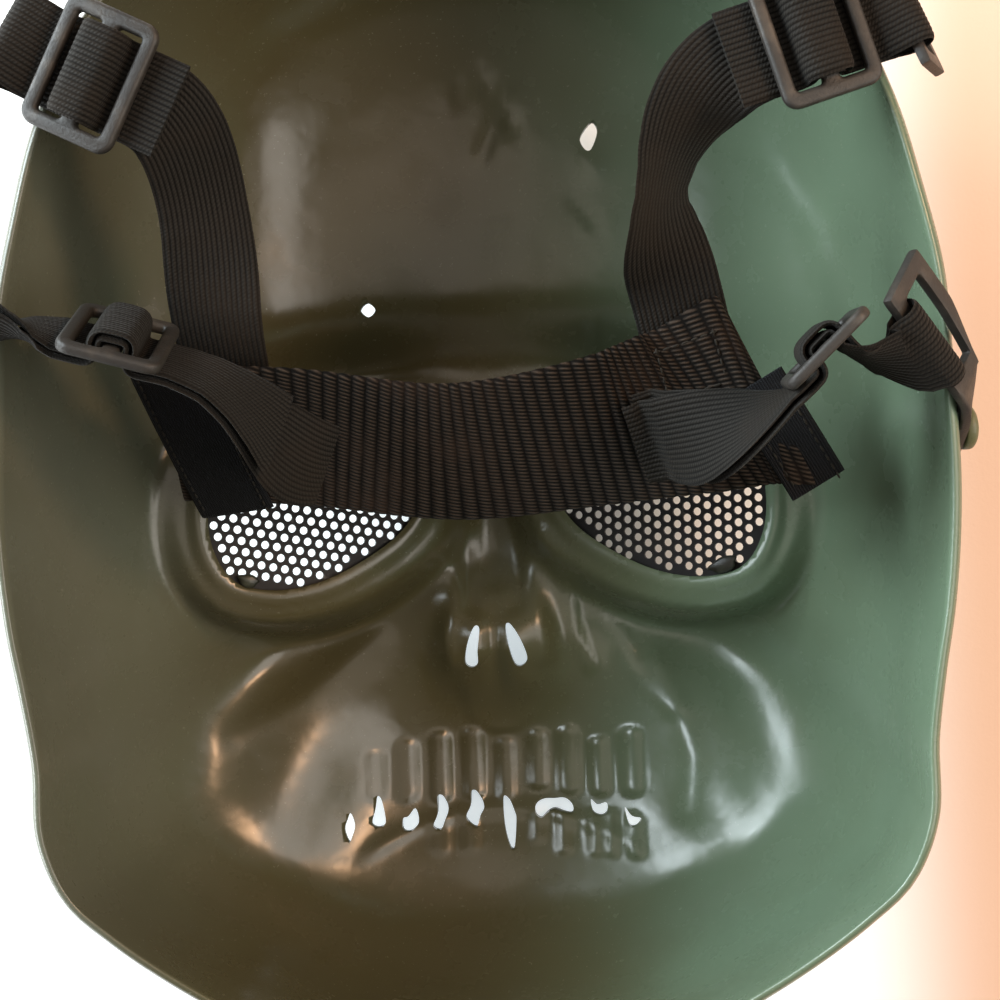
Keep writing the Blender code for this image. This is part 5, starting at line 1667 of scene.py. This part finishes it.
SCORCHED = fitting_plastic("scorched_plastic", (0.014, 0.014, 0.010), (0.05, 0.055, 0.032), 0.30)
PEGS = (
    # name, x, y, turn in radians, half sizes
    ("peg_right_low", 0.0560, -0.0262, 0.35, (0.0042, 0.0017, 0.0010)),
    ("peg_left_low", -0.0578, -0.0262, -0.30, (0.0030, 0.0015, 0.0010)),
    ("peg_right_inner", 0.0170, -0.0085, 1.2, (0.0024, 0.0014, 0.0009)),
    ("peg_left_inner", -0.0170, -0.0085, -1.2, (0.0024, 0.0014, 0.0009)),
)
for peg in PEGS:
    melted_peg(*peg)
print("pegs:", len(PEGS))

# %% [markdown]
# ## Table, light and camera
#
# The mask lies on a pale matt table. Towards the right its colour and its own faint light turn
# peach, as painted warm light. Its own faint light stands for the daylight that comes in under the
# mask, strong at the teeth and weak under the right eye: the table glows with painted light. Two
# cool windows to the left light the right inner wall; that wall is also painted greener, as
# painted light, and the left one browner, as painted shade. A small warm lamp on the right gives
# the orange glints, and a broad pale one lifts the left wall. Glossy plastic shows each light as a
# long soft shape. The camera hangs over the mask and is turned by two degrees, as the photograph
# is.

# %% Table
def pale_table():
    finish = Finish("pale_table", Roughness=0.75, Specular_IOR_Level=0.25, Emission_Strength=0.55)
    place = finish.place()
    x, y, _ = finish.split(place)
    # Painted light: the table glows blue-white, and to the right its glow turns peach as painted
    # warm light.
    painted_warm_light = x.above(0.085, 0.135)
    glow = finish.mix(painted_warm_light, (0.80, 0.92, 1.0), (0.20, 0.09, 0.05))
    # Painted shade: the glow is weak under the right eye.
    dim = x.above(0.010, 0.026) * y.above(-0.041, -0.033) * (x * -1.0).above(-0.088, -0.080)
    finish.use("Emission Color", finish.mix(dim, glow, (0.075, 0.062, 0.058)))
    fibre = finish.noise(place, 0.0016, 4.0, 0.65)
    clouds = finish.noise(place, 0.25, 2.0)
    paper = finish.mix(clouds * 0.6 + fibre * 0.2, (0.86, 0.84, 0.81), (0.80, 0.775, 0.745))
    # Painted warm light: the table's colour turns peach to the right.
    finish.use("Base Color", finish.mix(painted_warm_light * 0.8, paper, (0.74, 0.47, 0.32)))
    return finish.relief(fibre, 0.0003, 0.25).material


table = new_piece("table", [(-3, -3, 0), (3, -3, 0), (3, 3, 0), (-3, 3, 0)], [(0, 1, 2, 3)],
                  pale_table(), Vector((0.0, 0.0, -0.0002)))


LAMPS = (
    # name, place, target, size, watts, colour
    ("window_left", (-0.90, 0.36, 0.62), (0.06, -0.03, 0.03), (0.60, 0.62), 16.0,
     (0.84, 0.94, 1.0)),
    ("window_low", (-0.85, 0.62, 0.40), (0.06, -0.09, 0.05), (0.50, 0.36), 9.0,
     (0.84, 0.95, 1.0)),
    ("low_left", (-0.9, -0.10, 0.12), (-0.02, -0.02, 0.0), (0.9, 0.20), 8.0, (0.93, 0.97, 1.0)),
    ("warm_right", (0.62, 0.30, 0.70), (0.0, 0.0, 0.05), (0.16, 0.20), 3.0, (1.0, 0.58, 0.32)),
    ("haze_right", (0.80, -0.10, 0.70), (-0.06, 0.0, 0.05), (0.80, 0.80), 8.0,
     (1.0, 0.94, 0.86)),
    ("overhead", (0.1, 0.1, 1.3), (0.0, 0.0, 0.0), (1.0, 1.0), 2.6, (1.0, 0.88, 0.76)),
)
for name, origin, target, size, watts, colour in LAMPS:
    light = bpy.data.lights.new(name, "AREA")
    light.shape = "RECTANGLE"
    light.size, light.size_y = size
    light.energy = watts
    light.color = colour
    lamp = linked(name, light)
    lamp.location = origin
    lamp.rotation_euler = (Vector(target) - Vector(origin)).to_track_quat("-Z", "Y").to_euler()

world = bpy.data.worlds.new("room")
bpy.context.scene.world = world
world.use_nodes = True
colour, strength = world.node_tree.nodes["Background"].inputs[:2]
colour.default_value = (0.80, 0.74, 0.68, 1.0)
strength.default_value = 0.30
print("lamps:", len(LAMPS))

# %% Camera
FIELD_OF_VIEW, CAMERA_ROLL = math.radians(33.4), math.radians(-2.0)
camera = linked("camera", bpy.data.cameras.new("camera"))
eye = SHELL_MIDDLE + Vector((0.0195, -0.0090, 0.4370))
target = SHELL_MIDDLE + Vector((0.0020, -0.0090, 0.0))
back = (eye - target).normalized()
right = Vector((0.0, 1.0, 0.0)).cross(back).normalized()
turned_camera = Matrix((right, back.cross(right), back)).transposed()
turned_camera = turned_camera @ Matrix.Rotation(CAMERA_ROLL, 3, "Z")
camera.matrix_world = Matrix.Translation(eye) @ turned_camera.to_4x4()
camera.data.angle = FIELD_OF_VIEW
camera.data.clip_start = 0.01
bpy.context.scene.camera = camera
bpy.context.scene.view_settings.view_transform = "Standard"
print("camera at", [round(c, 3) for c in eye])

# %% Last update of the scene
bpy.context.view_layer.update()
